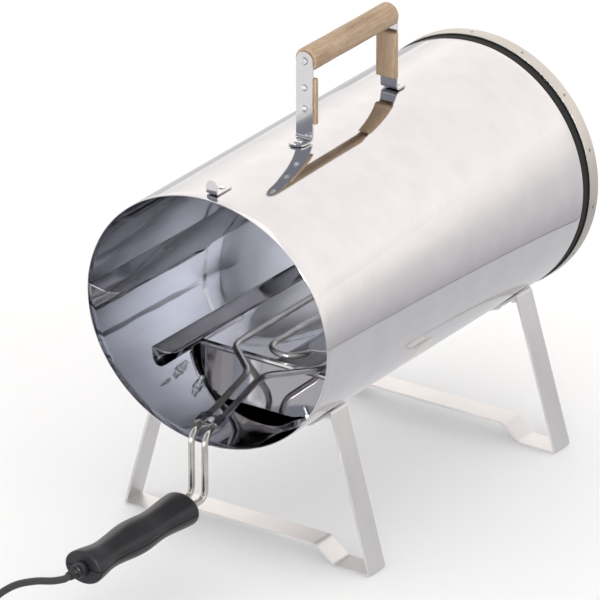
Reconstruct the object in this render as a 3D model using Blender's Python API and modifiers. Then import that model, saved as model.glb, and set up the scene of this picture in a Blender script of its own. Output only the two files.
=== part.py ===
"""Electric barrel smoker oven: an open steel barrel on two bent strap legs, with a wooden carry handle,
shelf rails, a chip tray, and a pull-out heating element on a plastic handle with a mains lead.

Everything is laid out from the barrel's axis at its open front rim: +Y runs to the rear cover and +Z is up.
An empty there carries every piece and lifts the whole to the surface that it stands on.
"""

import math

import bmesh
import bpy
from mathutils import Matrix, Vector

# ---- Driving dimensions, in metres ----------------------------------------------------------------
GAP = 0.0003

BARREL_RADIUS = 0.130
BARREL_LENGTH = 0.4465
OVALITY = 0.040  # the open rim is this much wider and lower than the round rear end
SHEET = 0.001
BARREL_SIDES = 72
NECK_RADIUS = 0.1274
NECK_STEP = 0.0015
NECK_LENGTH = 0.0235

COVER_RADIUS = 0.1313
COVER_FRONT = BARREL_LENGTH + 0.0105
COVER_REAR = BARREL_LENGTH + 0.0260
COVER_FLANGE_RADIUS = 0.1282
DISH_RIM = 0.1120
DISH_FLOOR = 0.1060
DISH_DEPTH = 0.0030
SEAL_INNER = 0.1278
SEAL_OUTER = 0.1292

AXIS_HEIGHT = 0.2495
LEG_FRONTS = {"front": 0.0632, "rear": 0.3860}
LEG_WIDTH = 0.0262
LEG_THICKNESS = 0.0025
FOOT_OUTER_X = 0.1397
FOOT_INNER_X = 0.0995
BAR_X = 0.0789
BAR_RISE = 0.0163
LEG_BEND = 0.0035
UPRIGHT_TOP_ANGLE = math.radians(44.5)
FLANGE_END_ANGLE = math.radians(23.0)
LEG_BOLT_ANGLES = (math.radians(28.4), math.radians(38.6))

GRIP_RADIUS = 0.0119
GRIP_HEIGHT = 0.2065
GRIP_EDGE = 0.0012
STRAP_FRONT = 0.1620
STRAP_REAR = 0.3040
STRAP_WIDTH = 0.0185
STRAP_THICKNESS = 0.0020
STRAP_BEND = 0.0035
FOOT_TAB = 0.0200
GUARD_SIZE = (0.0225, 0.0050, 0.0460)
GUARD_EDGE = 0.0008
GUARD_CENTRE_HEIGHT = 0.1665
GUARD_RIVET_HEIGHTS = (0.1585, 0.1795)

LATCH_WIDTH = 0.0120
LATCH_FRONT = 0.0105
LATCH_LENGTH = 0.0235
LATCH_HEIGHT = 0.0135
LATCH_THICKNESS = 0.0015
LATCH_BEND = 0.0020
LATCH_RIVET_AT = 0.0160

RAIL_REAR = 0.4380
UPPER_RAIL = {"angle": math.radians(2.0), "width": 0.0295, "droop": 0.0055, "front": 0.0030, "corner": 0.018}
LOWER_RAIL = {"angle": math.radians(-37.7), "width": 0.020, "droop": 0.0035, "front": 0.063, "corner": 0.012}
RAIL_FLANGE = math.radians(5.0)

TRAY_TOP = -0.0835
TRAY_BOTTOM = -0.1165
TRAY_TOP_HALF = 0.0880
TRAY_BOTTOM_HALF = 0.0400
TRAY_FRONT_TOP = 0.1180
TRAY_FRONT_BOTTOM = 0.0830
TRAY_REAR = 0.3850
TRAY_LIP = 0.0050
TRAY_LIP_TAPER = 0.965
TRAY_LIP_RISE = 0.0003
TRAY_BULGE = 0.0065

TUBE_RADIUS = 0.00325
TUBE_SPACING = 0.0150
TUBE_BEND = 0.0110
TUBE_IN_HANDLE = 0.0480
TUBE_ABOVE_HANDLE_AXIS = 0.0015
RISER_Y = -0.0140
RISER_TOP = -0.1090
APEX_Y = 0.0800
APEX_HEIGHT = -0.0820
ELEMENT_HEIGHT = -0.0784
OUTER_LEG_X = 0.0490
INNER_LEG_X = 0.0200
SPREAD_Y = 0.1150
INNER_TURN_Y = 0.1230
ELEMENT_REAR = 0.3680

CLAMP_WIDTH = 0.0300
CLAMP_LENGTH = 0.0140
CLAMP_THICKNESS = 0.0010
CLAMP_FROM_RISER = 0.0230

HANDLE_FRONT = Vector((0.0, -0.0404, -0.1733))
HANDLE_LENGTH = 0.1577
HANDLE_TILT = math.radians(1.0)
HANDLE_WALL = 0.0026
HANDLE_MOUTH = 0.0120
HANDLE_CORD_HOLE = 0.0060
HANDLE_END_WALL = 0.0040
HANDLE_WIDE = 1.157  # the section is an oval, this much wider
HANDLE_LOW = 0.890  # and this much lower than a circle
# Flares, waists and belly: share of the length from the front end, and mean radius there.
HANDLE_SWELLS = ((0.0, 0.0181), (0.29, 0.0154), (0.495, 0.0173), (0.78, 0.0142), (1.0, 0.0178))
RELIEF_LENGTH = 0.0220
TERMINAL_RADIUS = 0.0030
TERMINAL_LENGTH = 0.0200

CORD_RADIUS = 0.0034
COIL_CENTRE = (-0.0965, -0.4300)
COIL_INNER = 0.0297
COIL_OUTER = 0.0507
COIL_HEIGHT = 0.0140

PLUG_REAR = (-0.0665, -0.3830)
PLUG_BOOT = 0.0250
PLUG_BODY = 0.0330
PLUG_RADIUS = 0.0190
PLUG_PIN_RADIUS = 0.0024
PLUG_PIN_LENGTH = 0.0190
PLUG_PIN_SOCKET = 0.0100
PLUG_PIN_SPACING = 0.0190

# ---- Where the object stands ----------------------------------------------------------------------
FRONT_REACH = HANDLE_FRONT.y - (HANDLE_LENGTH + RELIEF_LENGTH) * math.cos(HANDLE_TILT)
FRAME_Y = -(FRONT_REACH + COVER_REAR) / 2
FLOOR = -AXIS_HEIGHT


# ---- Materials, collections and empties -----------------------------------------------------------
def make_material(name, colour, metallic, roughness):
    material = bpy.data.materials.new(name)
    material.use_nodes = True
    shader = material.node_tree.nodes["Principled BSDF"]
    shader.inputs["Base Color"].default_value = (*colour, 1.0)
    shader.inputs["Metallic"].default_value = metallic
    shader.inputs["Roughness"].default_value = roughness
    return material


def make_empty(name, location, parent=None, tilt=0.0):
    empty = bpy.data.objects.new(name, None)
    empty.location = location
    empty.rotation_euler = (tilt, 0.0, 0.0)
    empty.parent = parent
    PARTS.objects.link(empty)
    return empty


def clear_scene():
    for obj in list(bpy.data.objects):
        bpy.data.objects.remove(obj, do_unlink=True)


def make_collection(name):
    collection = bpy.data.collections.new(name)
    bpy.context.scene.collection.children.link(collection)
    return collection


# ---- Mesh helpers ---------------------------------------------------------------------------------
def add_piece(name, mesh, material, parent, location=(0, 0, 0), rotation=None):
    obj = bpy.data.objects.new(name, mesh)
    if material.name not in mesh.materials:
        mesh.materials.append(material)
    obj.parent = parent
    obj.location = location
    if rotation is not None:
        obj.rotation_mode = "QUATERNION"
        obj.rotation_quaternion = rotation
    PARTS.objects.link(obj)
    return obj


def finish_mesh(name, bm, smooth_angle=35):
    bmesh.ops.recalc_face_normals(bm, faces=bm.faces)
    mesh = bpy.data.meshes.new(name)
    bm.to_mesh(mesh)
    bm.free()
    mesh.shade_smooth()
    mesh.set_sharp_from_angle(angle=math.radians(smooth_angle))
    return mesh


def skin(rows, wrap_rows=False, wrap_columns=False):
    """A grid surface through rows of points; a wrapped direction closes on itself."""
    bm = bmesh.new()
    grid = [[bm.verts.new(point) for point in row] for row in rows]
    row_count, column_count = len(grid), len(grid[0])
    for i in range(row_count if wrap_rows else row_count - 1):
        for j in range(column_count if wrap_columns else column_count - 1):
            below, above = grid[i], grid[(i + 1) % row_count]
            right = (j + 1) % column_count
            bm.faces.new((below[j], below[right], above[right], above[j]))
    return bm


def thicken(obj, thickness, offset=0.0):
    solidify = obj.modifiers.new("Thickness", "SOLIDIFY")
    solidify.thickness = thickness
    solidify.offset = offset
    solidify.use_even_offset = True


def turned_mesh(name, profile, steps=20):
    """A solid of revolution about local Z; the profile runs down its outer side, top to bottom."""
    bm = bmesh.new()
    ring = [bm.verts.new((radius, 0.0, height)) for radius, height in profile]
    edges = [bm.edges.new(pair) for pair in zip(ring, ring[1:])]
    bmesh.ops.spin(
        bm, geom=ring + edges, cent=(0, 0, 0), axis=(0, 0, 1), angle=2 * math.pi, steps=steps, use_merge=True
    )
    bmesh.ops.remove_doubles(bm, verts=bm.verts, dist=0.00001)
    return finish_mesh(name, bm)


def drill(obj, radius, location, direction, depth=0.03):
    """Cuts a round hole through obj, centred on location, in the frame of obj's parent."""
    bm = bmesh.new()
    bmesh.ops.create_cone(bm, cap_ends=True, segments=12, radius1=radius, radius2=radius, depth=depth)
    cutter = bpy.data.objects.new(f"cutter_{obj.name}_{len(CUTTERS.objects)}", finish_mesh("cutter", bm))
    cutter.parent = obj.parent
    cutter.location = location
    cutter.rotation_mode = "QUATERNION"
    cutter.rotation_quaternion = Vector(direction).to_track_quat("Z", "Y")
    cutter.hide_render = True
    cutter.display_type = "WIRE"
    CUTTERS.objects.link(cutter)
    hole = obj.modifiers.new("Hole", "BOOLEAN")
    hole.operation = "DIFFERENCE"
    hole.object = cutter


def rounded(points, radius, steps=4):
    """The polyline with each inner corner replaced by a short curve that starts radius before it."""
    points = [Vector(point) for point in points]
    smooth = [points[0]]
    for before, corner, after in zip(points, points[1:], points[2:]):
        into = (before - corner).normalized()
        away = (after - corner).normalized()
        reach_in = min(radius, (before - corner).length * 0.45)
        reach_out = min(radius, (after - corner).length * 0.45)
        start, end = corner + into * reach_in, corner + away * reach_out
        for step in range(steps + 1):
            t = step / steps
            smooth.append(start * (1 - t) ** 2 + corner * 2 * t * (1 - t) + end * t**2)
    smooth.append(points[-1])
    return smooth


def spline(points, per_span):
    """Points along a smooth curve through the given ones."""
    points = [Vector(point) for point in points]
    padded = [points[0] * 2 - points[1], *points, points[-1] * 2 - points[-2]]
    smooth = [points[0]]
    for a, b, c, d in zip(padded, padded[1:], padded[2:], padded[3:]):
        for step in range(1, per_span + 1):
            t = step / per_span
            bend, twist = a * 2 - b * 5 + c * 4 - d, b * 3 - a - c * 3 + d
            smooth.append((b * 2 + (c - a) * t + bend * t**2 + twist * t**3) / 2)
    return smooth


def tube(name, points, radius, material, parent, resolution=2):
    curve = bpy.data.curves.new(name, "CURVE")
    curve.dimensions = "3D"
    curve.bevel_depth = radius
    curve.bevel_resolution = resolution
    curve.use_fill_caps = True
    line = curve.splines.new("POLY")
    line.points.add(len(points) - 1)
    for slot, point in zip(line.points, points):
        slot.co = (*point, 1.0)
    curve.materials.append(material)
    obj = bpy.data.objects.new(name, curve)
    obj.parent = parent
    PARTS.objects.link(obj)
    return obj


def strap_rows(path, half_width, columns, across, round_start=False, round_end=False):
    """Rows of points for a flat strap that follows path; a rounded end is a half circle."""
    path = [Vector(point) for point in path]
    first = (path[1] - path[0]).normalized()
    last = (path[-2] - path[-1]).normalized()
    rows = [[] for _ in path]
    for column in range(columns + 1):
        offset = -half_width * math.cos(math.pi * column / columns)
        inset = half_width - math.sqrt(max(half_width**2 - offset**2, 0.0))
        for index, point in enumerate(path):
            if index == 0 and round_start:
                point = point + first * inset
            if index == len(path) - 1 and round_end:
                point = point + last * inset
            rows[index].append(point + across * offset)
    return rows


# ---- The barrel's shape ---------------------------------------------------------------------------
def stretch(y):
    """How much wider, and lower, the barrel is than a circle at this distance from the rim."""
    return OVALITY * (1 - min(max(y / BARREL_LENGTH, 0.0), 1.0))


def wall(angle, y, inset=0.0, radius=BARREL_RADIUS):
    """A point on the barrel's outer wall; angle 0 is at +X and a positive inset goes inward."""
    wide, high = radius * (1 + stretch(y)), radius * (1 - stretch(y))
    point = Vector((wide * math.cos(angle), y, high * math.sin(angle)))
    outward = wall_normal(angle, y)
    return point - outward * inset


def wall_normal(angle, y):
    return Vector((math.cos(angle) / (1 + stretch(y)), 0.0, math.sin(angle) / (1 - stretch(y)))).normalized()


# ---- Fasteners ------------------------------------------------------------------------------------
def pan_head(head_radius, head_height, shank_radius, length):
    """Profile of a domed head on a shank that goes down local Z from the head's underside."""
    return [
        (0.0, head_height),
        (head_radius * 0.55, head_height * 0.92),
        (head_radius * 0.9, head_height * 0.55),
        (head_radius, 0.0),
        (shank_radius, 0.0),
        (shank_radius, -length),
        (0.0, -length),
    ]


def hex_nut_mesh(name, across_flats, bore_radius, height):
    corner = across_flats / math.sqrt(3)
    outer, inner = [], []
    for step in range(12):
        angle = math.pi * step / 6
        reach = corner if step % 2 == 0 else across_flats / 2
        outer.append((reach * math.cos(angle), reach * math.sin(angle)))
        inner.append((bore_radius * math.cos(angle), bore_radius * math.sin(angle)))
    rings = ((outer, 0), (outer, height), (inner, height), (inner, 0))
    rows = [[(x, y, z) for x, y in ring] for ring, z in rings]
    return finish_mesh(name, skin(rows, wrap_rows=True, wrap_columns=True))


def place(name, mesh, material, parent, location, direction):
    """A fastener whose local Z points along direction."""
    return add_piece(name, mesh, material, parent, location, Vector(direction).to_track_quat("Z", "Y"))


# ---- Barrel, rear cover and seal ------------------------------------------------------------------
def make_barrel(frame):
    neck_start = BARREL_LENGTH + NECK_STEP
    stations = [(0.0, BARREL_RADIUS), (BARREL_LENGTH / 2, BARREL_RADIUS), (BARREL_LENGTH, BARREL_RADIUS)]
    stations += [(neck_start, NECK_RADIUS), (BARREL_LENGTH + NECK_LENGTH, NECK_RADIUS)]
    turn = [2 * math.pi * (step + 0.5) / BARREL_SIDES for step in range(BARREL_SIDES)]
    rows = [[wall(angle, y, radius=radius) for angle in turn] for y, radius in stations]
    barrel = add_piece("barrel", finish_mesh("barrel", skin(rows, wrap_columns=True)), STEEL_POLISHED, frame)
    thicken(barrel, SHEET, -1.0)
    return barrel


def make_rear_cover(frame):
    skirt_inner = COVER_RADIUS - SHEET
    disc = COVER_REAR - SHEET
    profile = [
        (0.0, COVER_REAR - DISH_DEPTH),
        (DISH_FLOOR, COVER_REAR - DISH_DEPTH),
        (DISH_RIM, COVER_REAR),
        (COVER_RADIUS - 0.0012, COVER_REAR),
        (COVER_RADIUS, COVER_REAR - 0.0012),
        (COVER_RADIUS, COVER_FRONT),
        (COVER_FLANGE_RADIUS, COVER_FRONT),
        (COVER_FLANGE_RADIUS, COVER_FRONT + SHEET),
        (skirt_inner, COVER_FRONT + SHEET),
        (skirt_inner, disc),
        (DISH_RIM, disc),
        (DISH_FLOOR, disc - DISH_DEPTH),
        (0.0, disc - DISH_DEPTH),
    ]
    slide = make_empty("rear_cover_slide", (0, 0, 0), frame, -math.pi / 2)
    add_piece("rear_cover", turned_mesh("rear_cover", profile, BARREL_SIDES), STEEL_BRUSHED, slide)


def make_seal(frame):
    front, rear = BARREL_LENGTH + 0.0022, COVER_FRONT - 0.0006
    ring = [(SEAL_INNER, rear), (SEAL_OUTER, rear), (SEAL_OUTER, front), (SEAL_INNER, front)]
    turn = [2 * math.pi * step / BARREL_SIDES for step in range(BARREL_SIDES)]
    rows = [[(radius * math.cos(a), y, radius * math.sin(a)) for a in turn] for radius, y in ring]
    mesh = finish_mesh("rear_seal", skin(rows, wrap_rows=True, wrap_columns=True))
    add_piece("rear_seal", mesh, SEAL_BLACK, frame)


# ---- Legs -----------------------------------------------------------------------------------------
def leg_path(y):
    """Centre line of one bent strap, from one flange under the barrel to the other."""
    half = LEG_THICKNESS / 2
    low = FLOOR + half
    flange = []
    for step in range(9):
        down = FLANGE_END_ANGLE + (UPRIGHT_TOP_ANGLE - FLANGE_END_ANGLE) * step / 8
        flange.append(wall(down - math.pi / 2, y, -(half + 2 * GAP)))
    right = flange[:-1]
    right += rounded([flange[-2], flange[-1], (FOOT_OUTER_X, y, low), (FOOT_INNER_X, y, low)], LEG_BEND)[1:-1]
    bar = [(FOOT_OUTER_X, y, low), (FOOT_INNER_X, y, low)]
    bar += [(BAR_X, y, low + BAR_RISE), (0.0, y, low + BAR_RISE)]
    right += rounded(bar, LEG_BEND)[1:-1]
    left = [Vector((-point.x, point.y, point.z)) for point in right]
    return left + right[::-1]


def make_leg(name, front, frame):
    path = leg_path(front)
    rows = [[point, point + Vector((0, LEG_WIDTH, 0))] for point in path]
    leg = add_piece(name, finish_mesh(name, skin(rows)), STEEL_BRUSHED, frame)
    thicken(leg, LEG_THICKNESS)
    return leg


def make_leg_bolts(leg, label, front, barrel, frame):
    bolt_y = front + LEG_WIDTH / 2
    number = 0
    for side in (-1, 1):
        for down in LEG_BOLT_ANGLES:
            number += 1
            angle = -math.pi / 2 + side * down
            outward = wall_normal(angle, bolt_y)
            seat = wall(angle, bolt_y, -(LEG_THICKNESS + 4 * GAP))
            inside = wall(angle, bolt_y, SHEET + 2 * GAP)
            for obj in (leg, barrel):
                drill(obj, BOLT_RADIUS + GAP, seat, outward)
            place(f"{label}_leg_bolt_{number}", BOLT_MESH, STEEL_ZINC, frame, seat, outward)
            place(f"{label}_leg_nut_{number}", NUT_MESH, STEEL_ZINC, frame, inside, -outward)


# ---- Carry handle ---------------------------------------------------------------------------------
def make_handle_end(label, y, outward, barrel, grip, frame):
    """One upright strap with its foot tab, heat guard, rivets and screws; outward is -1 at the front."""
    face = Vector((0, outward, 0))
    half = STRAP_THICKNESS / 2
    foot_reach = y + outward * FOOT_TAB
    highest = max(wall(math.pi / 2, end).z for end in (y, foot_reach))
    foot_z = highest + half + GAP
    path = [(0, y, GRIP_HEIGHT + STRAP_WIDTH / 2), (0, y, foot_z), (0, foot_reach, foot_z)]
    rows = strap_rows(rounded(path, STRAP_BEND), STRAP_WIDTH / 2, 9, Vector((1, 0, 0)), True, True)
    name = f"handle_strap_{label}"
    strap = add_piece(name, finish_mesh(name, skin(rows)), STEEL_POLISHED, frame)
    thicken(strap, STRAP_THICKNESS)

    guard_y = y - outward * (half + GAP + GUARD_SIZE[1] / 2)
    guard = make_guard(f"heat_guard_{label}", guard_y, frame)
    for number, height in enumerate(GUARD_RIVET_HEIGHTS, 1):
        seat = Vector((0, y + outward * (half + GAP), height))
        for obj in (strap, guard):
            drill(obj, RIVET_RADIUS + GAP, seat, face, 2 * (GUARD_RIVET_LENGTH + 2 * GAP))
        place(f"guard_rivet_{label}_{number}", RIVET_MESH, STEEL_ZINC, frame, seat, face)

    seat = Vector((0, y + outward * (half + GAP), GRIP_HEIGHT))
    drill(strap, GRIP_SCREW_RADIUS + GAP, seat, face)
    drill(grip, GRIP_SCREW_RADIUS + GAP, seat, face, 2 * GRIP_SCREW_LENGTH + 0.004)
    place(f"grip_screw_{label}", GRIP_SCREW_MESH, STEEL_ZINC, frame, seat, face)

    screw_y = y + outward * (FOOT_TAB - STRAP_WIDTH / 2)
    up = Vector((0, 0, 1))
    seat = Vector((0, screw_y, foot_z + half + GAP))
    for obj in (strap, barrel):
        drill(obj, FOOT_SCREW_RADIUS + GAP, seat, up)
    place(f"handle_screw_{label}", FOOT_SCREW_MESH, STEEL_ZINC, frame, seat, up)
    inside = wall(math.pi / 2, screw_y, SHEET + 2 * GAP)
    place(f"handle_nut_{label}", FOOT_NUT_MESH, STEEL_ZINC, frame, inside, -up)


def make_guard(name, y, frame):
    bm = bmesh.new()
    bmesh.ops.create_cube(bm, size=1.0, matrix=Matrix.Diagonal((*GUARD_SIZE, 1.0)))
    guard = add_piece(name, finish_mesh(name, bm), WOOD, frame, (0, y, GUARD_CENTRE_HEIGHT))
    bevel = guard.modifiers.new("Edges", "BEVEL")
    bevel.width = GUARD_EDGE
    bevel.segments = 2
    return guard


def make_grip(frame):
    inner_front = STRAP_FRONT + STRAP_THICKNESS / 2 + GAP
    inner_rear = STRAP_REAR - STRAP_THICKNESS / 2 - GAP
    length = inner_rear - inner_front
    profile = [
        (0.0, length),
        (GRIP_RADIUS - GRIP_EDGE, length),
        (GRIP_RADIUS, length - GRIP_EDGE),
        (GRIP_RADIUS, GRIP_EDGE),
        (GRIP_RADIUS - GRIP_EDGE, 0.0),
        (0.0, 0.0),
    ]
    mesh = turned_mesh("carry_grip", profile, 32)
    return place("carry_grip", mesh, WOOD, frame, (0, inner_front, GRIP_HEIGHT), (0, 1, 0))


def make_latch(barrel, frame):
    """The hook plate on top of the open rim that a front lid catches on."""
    half = LATCH_THICKNESS / 2
    base_z = wall(math.pi / 2, LATCH_FRONT + LATCH_LENGTH).z + half + GAP
    path = [
        (0, LATCH_FRONT, base_z + LATCH_HEIGHT),
        (0, LATCH_FRONT, base_z),
        (0, LATCH_FRONT + LATCH_LENGTH, base_z),
    ]
    rows = strap_rows(rounded(path, LATCH_BEND), LATCH_WIDTH / 2, 7, Vector((1, 0, 0)), True)
    latch = add_piece("lid_latch", finish_mesh("lid_latch", skin(rows)), STEEL_POLISHED, frame)
    thicken(latch, 2 * half)
    seat = Vector((0, LATCH_FRONT + LATCH_RIVET_AT, base_z + half + GAP))
    for obj in (latch, barrel):
        drill(obj, RIVET_RADIUS + GAP, seat, (0, 0, 1), 0.02)
    place("lid_latch_rivet", LATCH_RIVET_MESH, STEEL_ZINC, frame, seat, (0, 0, 1))


# ---- Shelf rails ----------------------------------------------------------------------------------
def rail_row(rail, side, y_of_column):
    """Points across one rail: its flange on the wall, the fold, then the ledge out to its free edge."""
    row = []
    flange_angle = rail["angle"] - RAIL_FLANGE
    for column, share in enumerate((-1.0, -0.5, 0.0, 0.25, 0.5, 0.7, 0.85, 0.95, 1.0)):
        y = y_of_column(max(share, 0.0))
        if share < 0:
            point = wall(rail["angle"] + (flange_angle - rail["angle"]) * -share, y, SHEET * 1.5 + GAP)
        else:
            point = wall(rail["angle"], y, SHEET * 1.5 + GAP)
            point += Vector((-rail["width"] * share, 0, -rail["droop"] * share))
        row.append((point.x * side, point.y, point.z))
    return row


def make_rail(name, rail, side, frame):
    corner = rail["corner"]

    def front(share):
        past = max(share * rail["width"] - (rail["width"] - corner), 0.0)
        return rail["front"] + corner - math.sqrt(corner**2 - past**2)

    middle = (rail["front"] + corner + RAIL_REAR) / 2
    rows = [rail_row(rail, side, front)]
    rows += [rail_row(rail, side, lambda share: middle), rail_row(rail, side, lambda share: RAIL_REAR)]
    obj = add_piece(name, finish_mesh(name, skin(rows)), STEEL_POLISHED, frame)
    thicken(obj, SHEET)


# ---- Chip tray ------------------------------------------------------------------------------------
def tray_section():
    """Half of the tray's cross-section, from the top of a side down and in to the middle of the floor."""
    top = Vector((TRAY_TOP_HALF, TRAY_TOP))
    foot = Vector((TRAY_BOTTOM_HALF, TRAY_BOTTOM))
    across = (top - foot).normalized()
    outward = Vector((across.y, -across.x))
    side = []
    for step in range(9):
        share = step / 8
        bulge = TRAY_BULGE * 4 * share * (1 - share)
        side.append(top.lerp(foot, share) + outward * bulge)
    return side


def tray_front(height):
    share = (TRAY_TOP - height) / (TRAY_TOP - TRAY_BOTTOM)
    return TRAY_FRONT_TOP + (TRAY_FRONT_BOTTOM - TRAY_FRONT_TOP) * share


def make_chip_tray(frame):
    half = tray_section()
    section = half + [Vector((-point.x, point.y)) for point in half[::-1]]
    rows = [
        [(point.x, tray_front(point.y), point.y) for point in section],
        [(point.x, TRAY_REAR, point.y) for point in section],
    ]
    bm = skin(rows)
    bm.verts.ensure_lookup_table()
    count = len(section)
    front_ring = bm.verts[:count]
    bm.faces.new(front_ring)
    bm.faces.new(bm.verts[count : 2 * count])
    corners = (front_ring[0], front_ring[-1])
    lip = [
        bm.verts.new((v.co.x * TRAY_LIP_TAPER, v.co.y - TRAY_LIP, v.co.z + TRAY_LIP_RISE)) for v in corners
    ]
    bm.faces.new((corners[0], corners[1], lip[1], lip[0]))
    mesh = finish_mesh("chip_tray", bm)
    tray = add_piece("chip_tray", mesh, STEEL_POLISHED, frame)
    thicken(tray, SHEET)


# ---- Heating element ------------------------------------------------------------------------------
def element_path():
    """Centre line of the bent tube, from one terminal through the W-shaped loop to the other."""
    x = TUBE_SPACING / 2
    rear_turn = (OUTER_LEG_X - INNER_LEG_X) / 2
    rear_centre = ELEMENT_REAR - rear_turn
    riser_foot = Vector((x, RISER_Y, HANDLE_FRONT.z + TUBE_ABOVE_HANDLE_AXIS))
    start = riser_foot + TUBE_IN_HANDLE * Vector((0, -math.cos(HANDLE_TILT), math.sin(HANDLE_TILT)))
    side = [
        start,
        riser_foot,
        (x, RISER_Y, RISER_TOP),
        (x, APEX_Y, APEX_HEIGHT),
        (OUTER_LEG_X, SPREAD_Y, ELEMENT_HEIGHT),
        (OUTER_LEG_X, rear_centre, ELEMENT_HEIGHT),
    ]
    half = rounded(side, TUBE_BEND, 5)[:-1]
    half += half_turn((OUTER_LEG_X + INNER_LEG_X) / 2, rear_centre, rear_turn, 1)
    half += half_turn(0.0, INNER_TURN_Y + INNER_LEG_X, INNER_LEG_X, -1)[:6]
    other = [Vector((-point.x, point.y, point.z)) for point in half[:-1]]
    return half + other[::-1]


def half_turn(centre_x, centre_y, radius, way, steps=10):
    """A level half circle from +X to -X, bulging to the rear with way 1 and to the front with way -1."""
    turn = []
    for step in range(steps + 1):
        angle = math.pi * step / steps
        turn.append(
            Vector(
                (
                    centre_x + radius * math.cos(angle),
                    centre_y + way * radius * math.sin(angle),
                    ELEMENT_HEIGHT,
                )
            )
        )
    return turn


def clamp_section(way):
    """Across the clamp: flats joined by an arch over each tube; way 1 is the upper plate."""
    arch = TUBE_RADIUS + GAP + CLAMP_THICKNESS / 2
    flat = way * (CLAMP_THICKNESS / 2 + 2 * GAP)
    rise = math.asin(abs(flat) / arch)
    section = [Vector((-CLAMP_WIDTH / 2, flat))]
    for centre in (-TUBE_SPACING / 2, TUBE_SPACING / 2):
        for step in range(9):
            angle = math.pi - rise - (math.pi - 2 * rise) * step / 8
            section.append(Vector((centre + arch * math.cos(angle), way * arch * math.sin(angle))))
    section.append(Vector((CLAMP_WIDTH / 2, flat)))
    return section


def make_clamp(slide):
    """Two saddle plates and a screw that hold the tubes together where they enter the barrel."""
    foot = Vector((0, RISER_Y, RISER_TOP))
    apex = Vector((0, APEX_Y, APEX_HEIGHT))
    along = (apex - foot).normalized()
    slope = math.asin(along.z)
    centre = foot + along * CLAMP_FROM_RISER
    clamp = make_empty("clamp_frame", centre, slide, slope)
    for name, way in (("clamp_upper", 1), ("clamp_lower", -1)):
        section = clamp_section(way)
        ends = (-CLAMP_LENGTH / 2, CLAMP_LENGTH / 2)
        rows = [[(point.x, end, point.y) for point in section] for end in ends]
        plate = add_piece(name, finish_mesh(name, skin(rows)), STEEL_POLISHED, clamp)
        thicken(plate, CLAMP_THICKNESS)
        drill(plate, CLAMP_SCREW_RADIUS + GAP, (0, 0, 0), (0, 0, 1))
    seat = Vector((0, 0, CLAMP_THICKNESS + 3 * GAP))
    place("clamp_screw", CLAMP_SCREW_MESH, STEEL_ZINC, clamp, seat, (0, 0, 1))
    place("clamp_nut", CLAMP_NUT_MESH, STEEL_ZINC, clamp, -seat, (0, 0, -1))


# ---- Element handle and mains lead ----------------------------------------------------------------
def handle_radius(share):
    """Mean outer radius along the handle, from its front end (0) to its cord end (1)."""
    for (start, before), (end, after) in zip(HANDLE_SWELLS, HANDLE_SWELLS[1:]):
        if share <= end:
            ease = (1 - math.cos(math.pi * (share - start) / (end - start))) / 2
            return before + (after - before) * ease
    return HANDLE_SWELLS[-1][1]


def handle_profile():
    """Closed outline of one half's wall: distance along the handle and radius."""
    end = HANDLE_LENGTH
    outer = [(0.0, handle_radius(0) - 0.0040), (0.0012, handle_radius(0) - 0.0014)]
    for step in range(13):
        share = 0.022 + 0.956 * step / 12
        outer.append((share * end, handle_radius(share)))
    outer += [(end - 0.0010, handle_radius(1) - 0.0008), (end, handle_radius(1) - 0.0024)]
    inner = [(end, HANDLE_CORD_HOLE), (end - HANDLE_END_WALL, HANDLE_CORD_HOLE)]
    for step in range(6):
        share = 0.955 - 0.90 * step / 5
        inner.append((share * end, handle_radius(share) - HANDLE_WALL))
    inner += [(HANDLE_END_WALL, HANDLE_MOUTH), (0.0, HANDLE_MOUTH)]
    return outer + inner


def make_handle_half(name, way, handle):
    bm = bmesh.new()
    ring = [bm.verts.new((radius, -along, 0.0)) for along, radius in handle_profile()]
    face = bm.faces.new(ring)
    outline = [face, *face.verts, *face.edges]
    bmesh.ops.spin(bm, geom=outline, cent=(0, 0, 0), axis=(0, 1, 0), angle=-way * math.pi, steps=12)
    bmesh.ops.scale(bm, vec=(HANDLE_WIDE, 1.0, HANDLE_LOW), verts=bm.verts)
    lift = Vector((0, 0, way * GAP))
    add_piece(name, finish_mesh(name, bm, 30), PLASTIC, handle, lift)


def make_element_handle(slide):
    handle = make_empty("handle_frame", HANDLE_FRONT, slide, -HANDLE_TILT)
    make_handle_half("handle_upper", 1, handle)
    make_handle_half("handle_lower", -1, handle)

    relief = [
        (0.0, RELIEF_LENGTH),
        (CORD_RADIUS + 0.0008, RELIEF_LENGTH),
        (CORD_RADIUS + 0.0020, 0.0125),
        (CORD_RADIUS + 0.0034, 0.0112),
        (CORD_RADIUS + 0.0042, 0.0050),
        (CORD_RADIUS + 0.0040, GAP),
        (CORD_RADIUS + 0.0014, GAP),
        (CORD_RADIUS + 0.0014, -0.0060),
        (0.0, -0.0060),
    ]
    mesh = turned_mesh("strain_relief", relief, 20)
    place("strain_relief", mesh, PLASTIC, handle, (0, -HANDLE_LENGTH, 0), (0, -1, 0))


def make_terminals(slide):
    """Crimped sleeves that join the tube's cold ends to the lead's cores, inside the handle."""
    path = element_path()
    direction = (path[0] - path[1]).normalized()
    for label, end in (("right", path[0]), ("left", path[-1])):
        taper = (TERMINAL_RADIUS, TERMINAL_LENGTH - 0.0060)
        nose = (TERMINAL_RADIUS - 0.0014, TERMINAL_LENGTH)
        profile = [(0.0, TERMINAL_LENGTH), nose, taper, (TERMINAL_RADIUS, GAP), (0.0, GAP)]
        place(f"terminal_{label}", turned_mesh("terminal", profile, 12), STEEL_ZINC, slide, end, direction)


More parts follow.
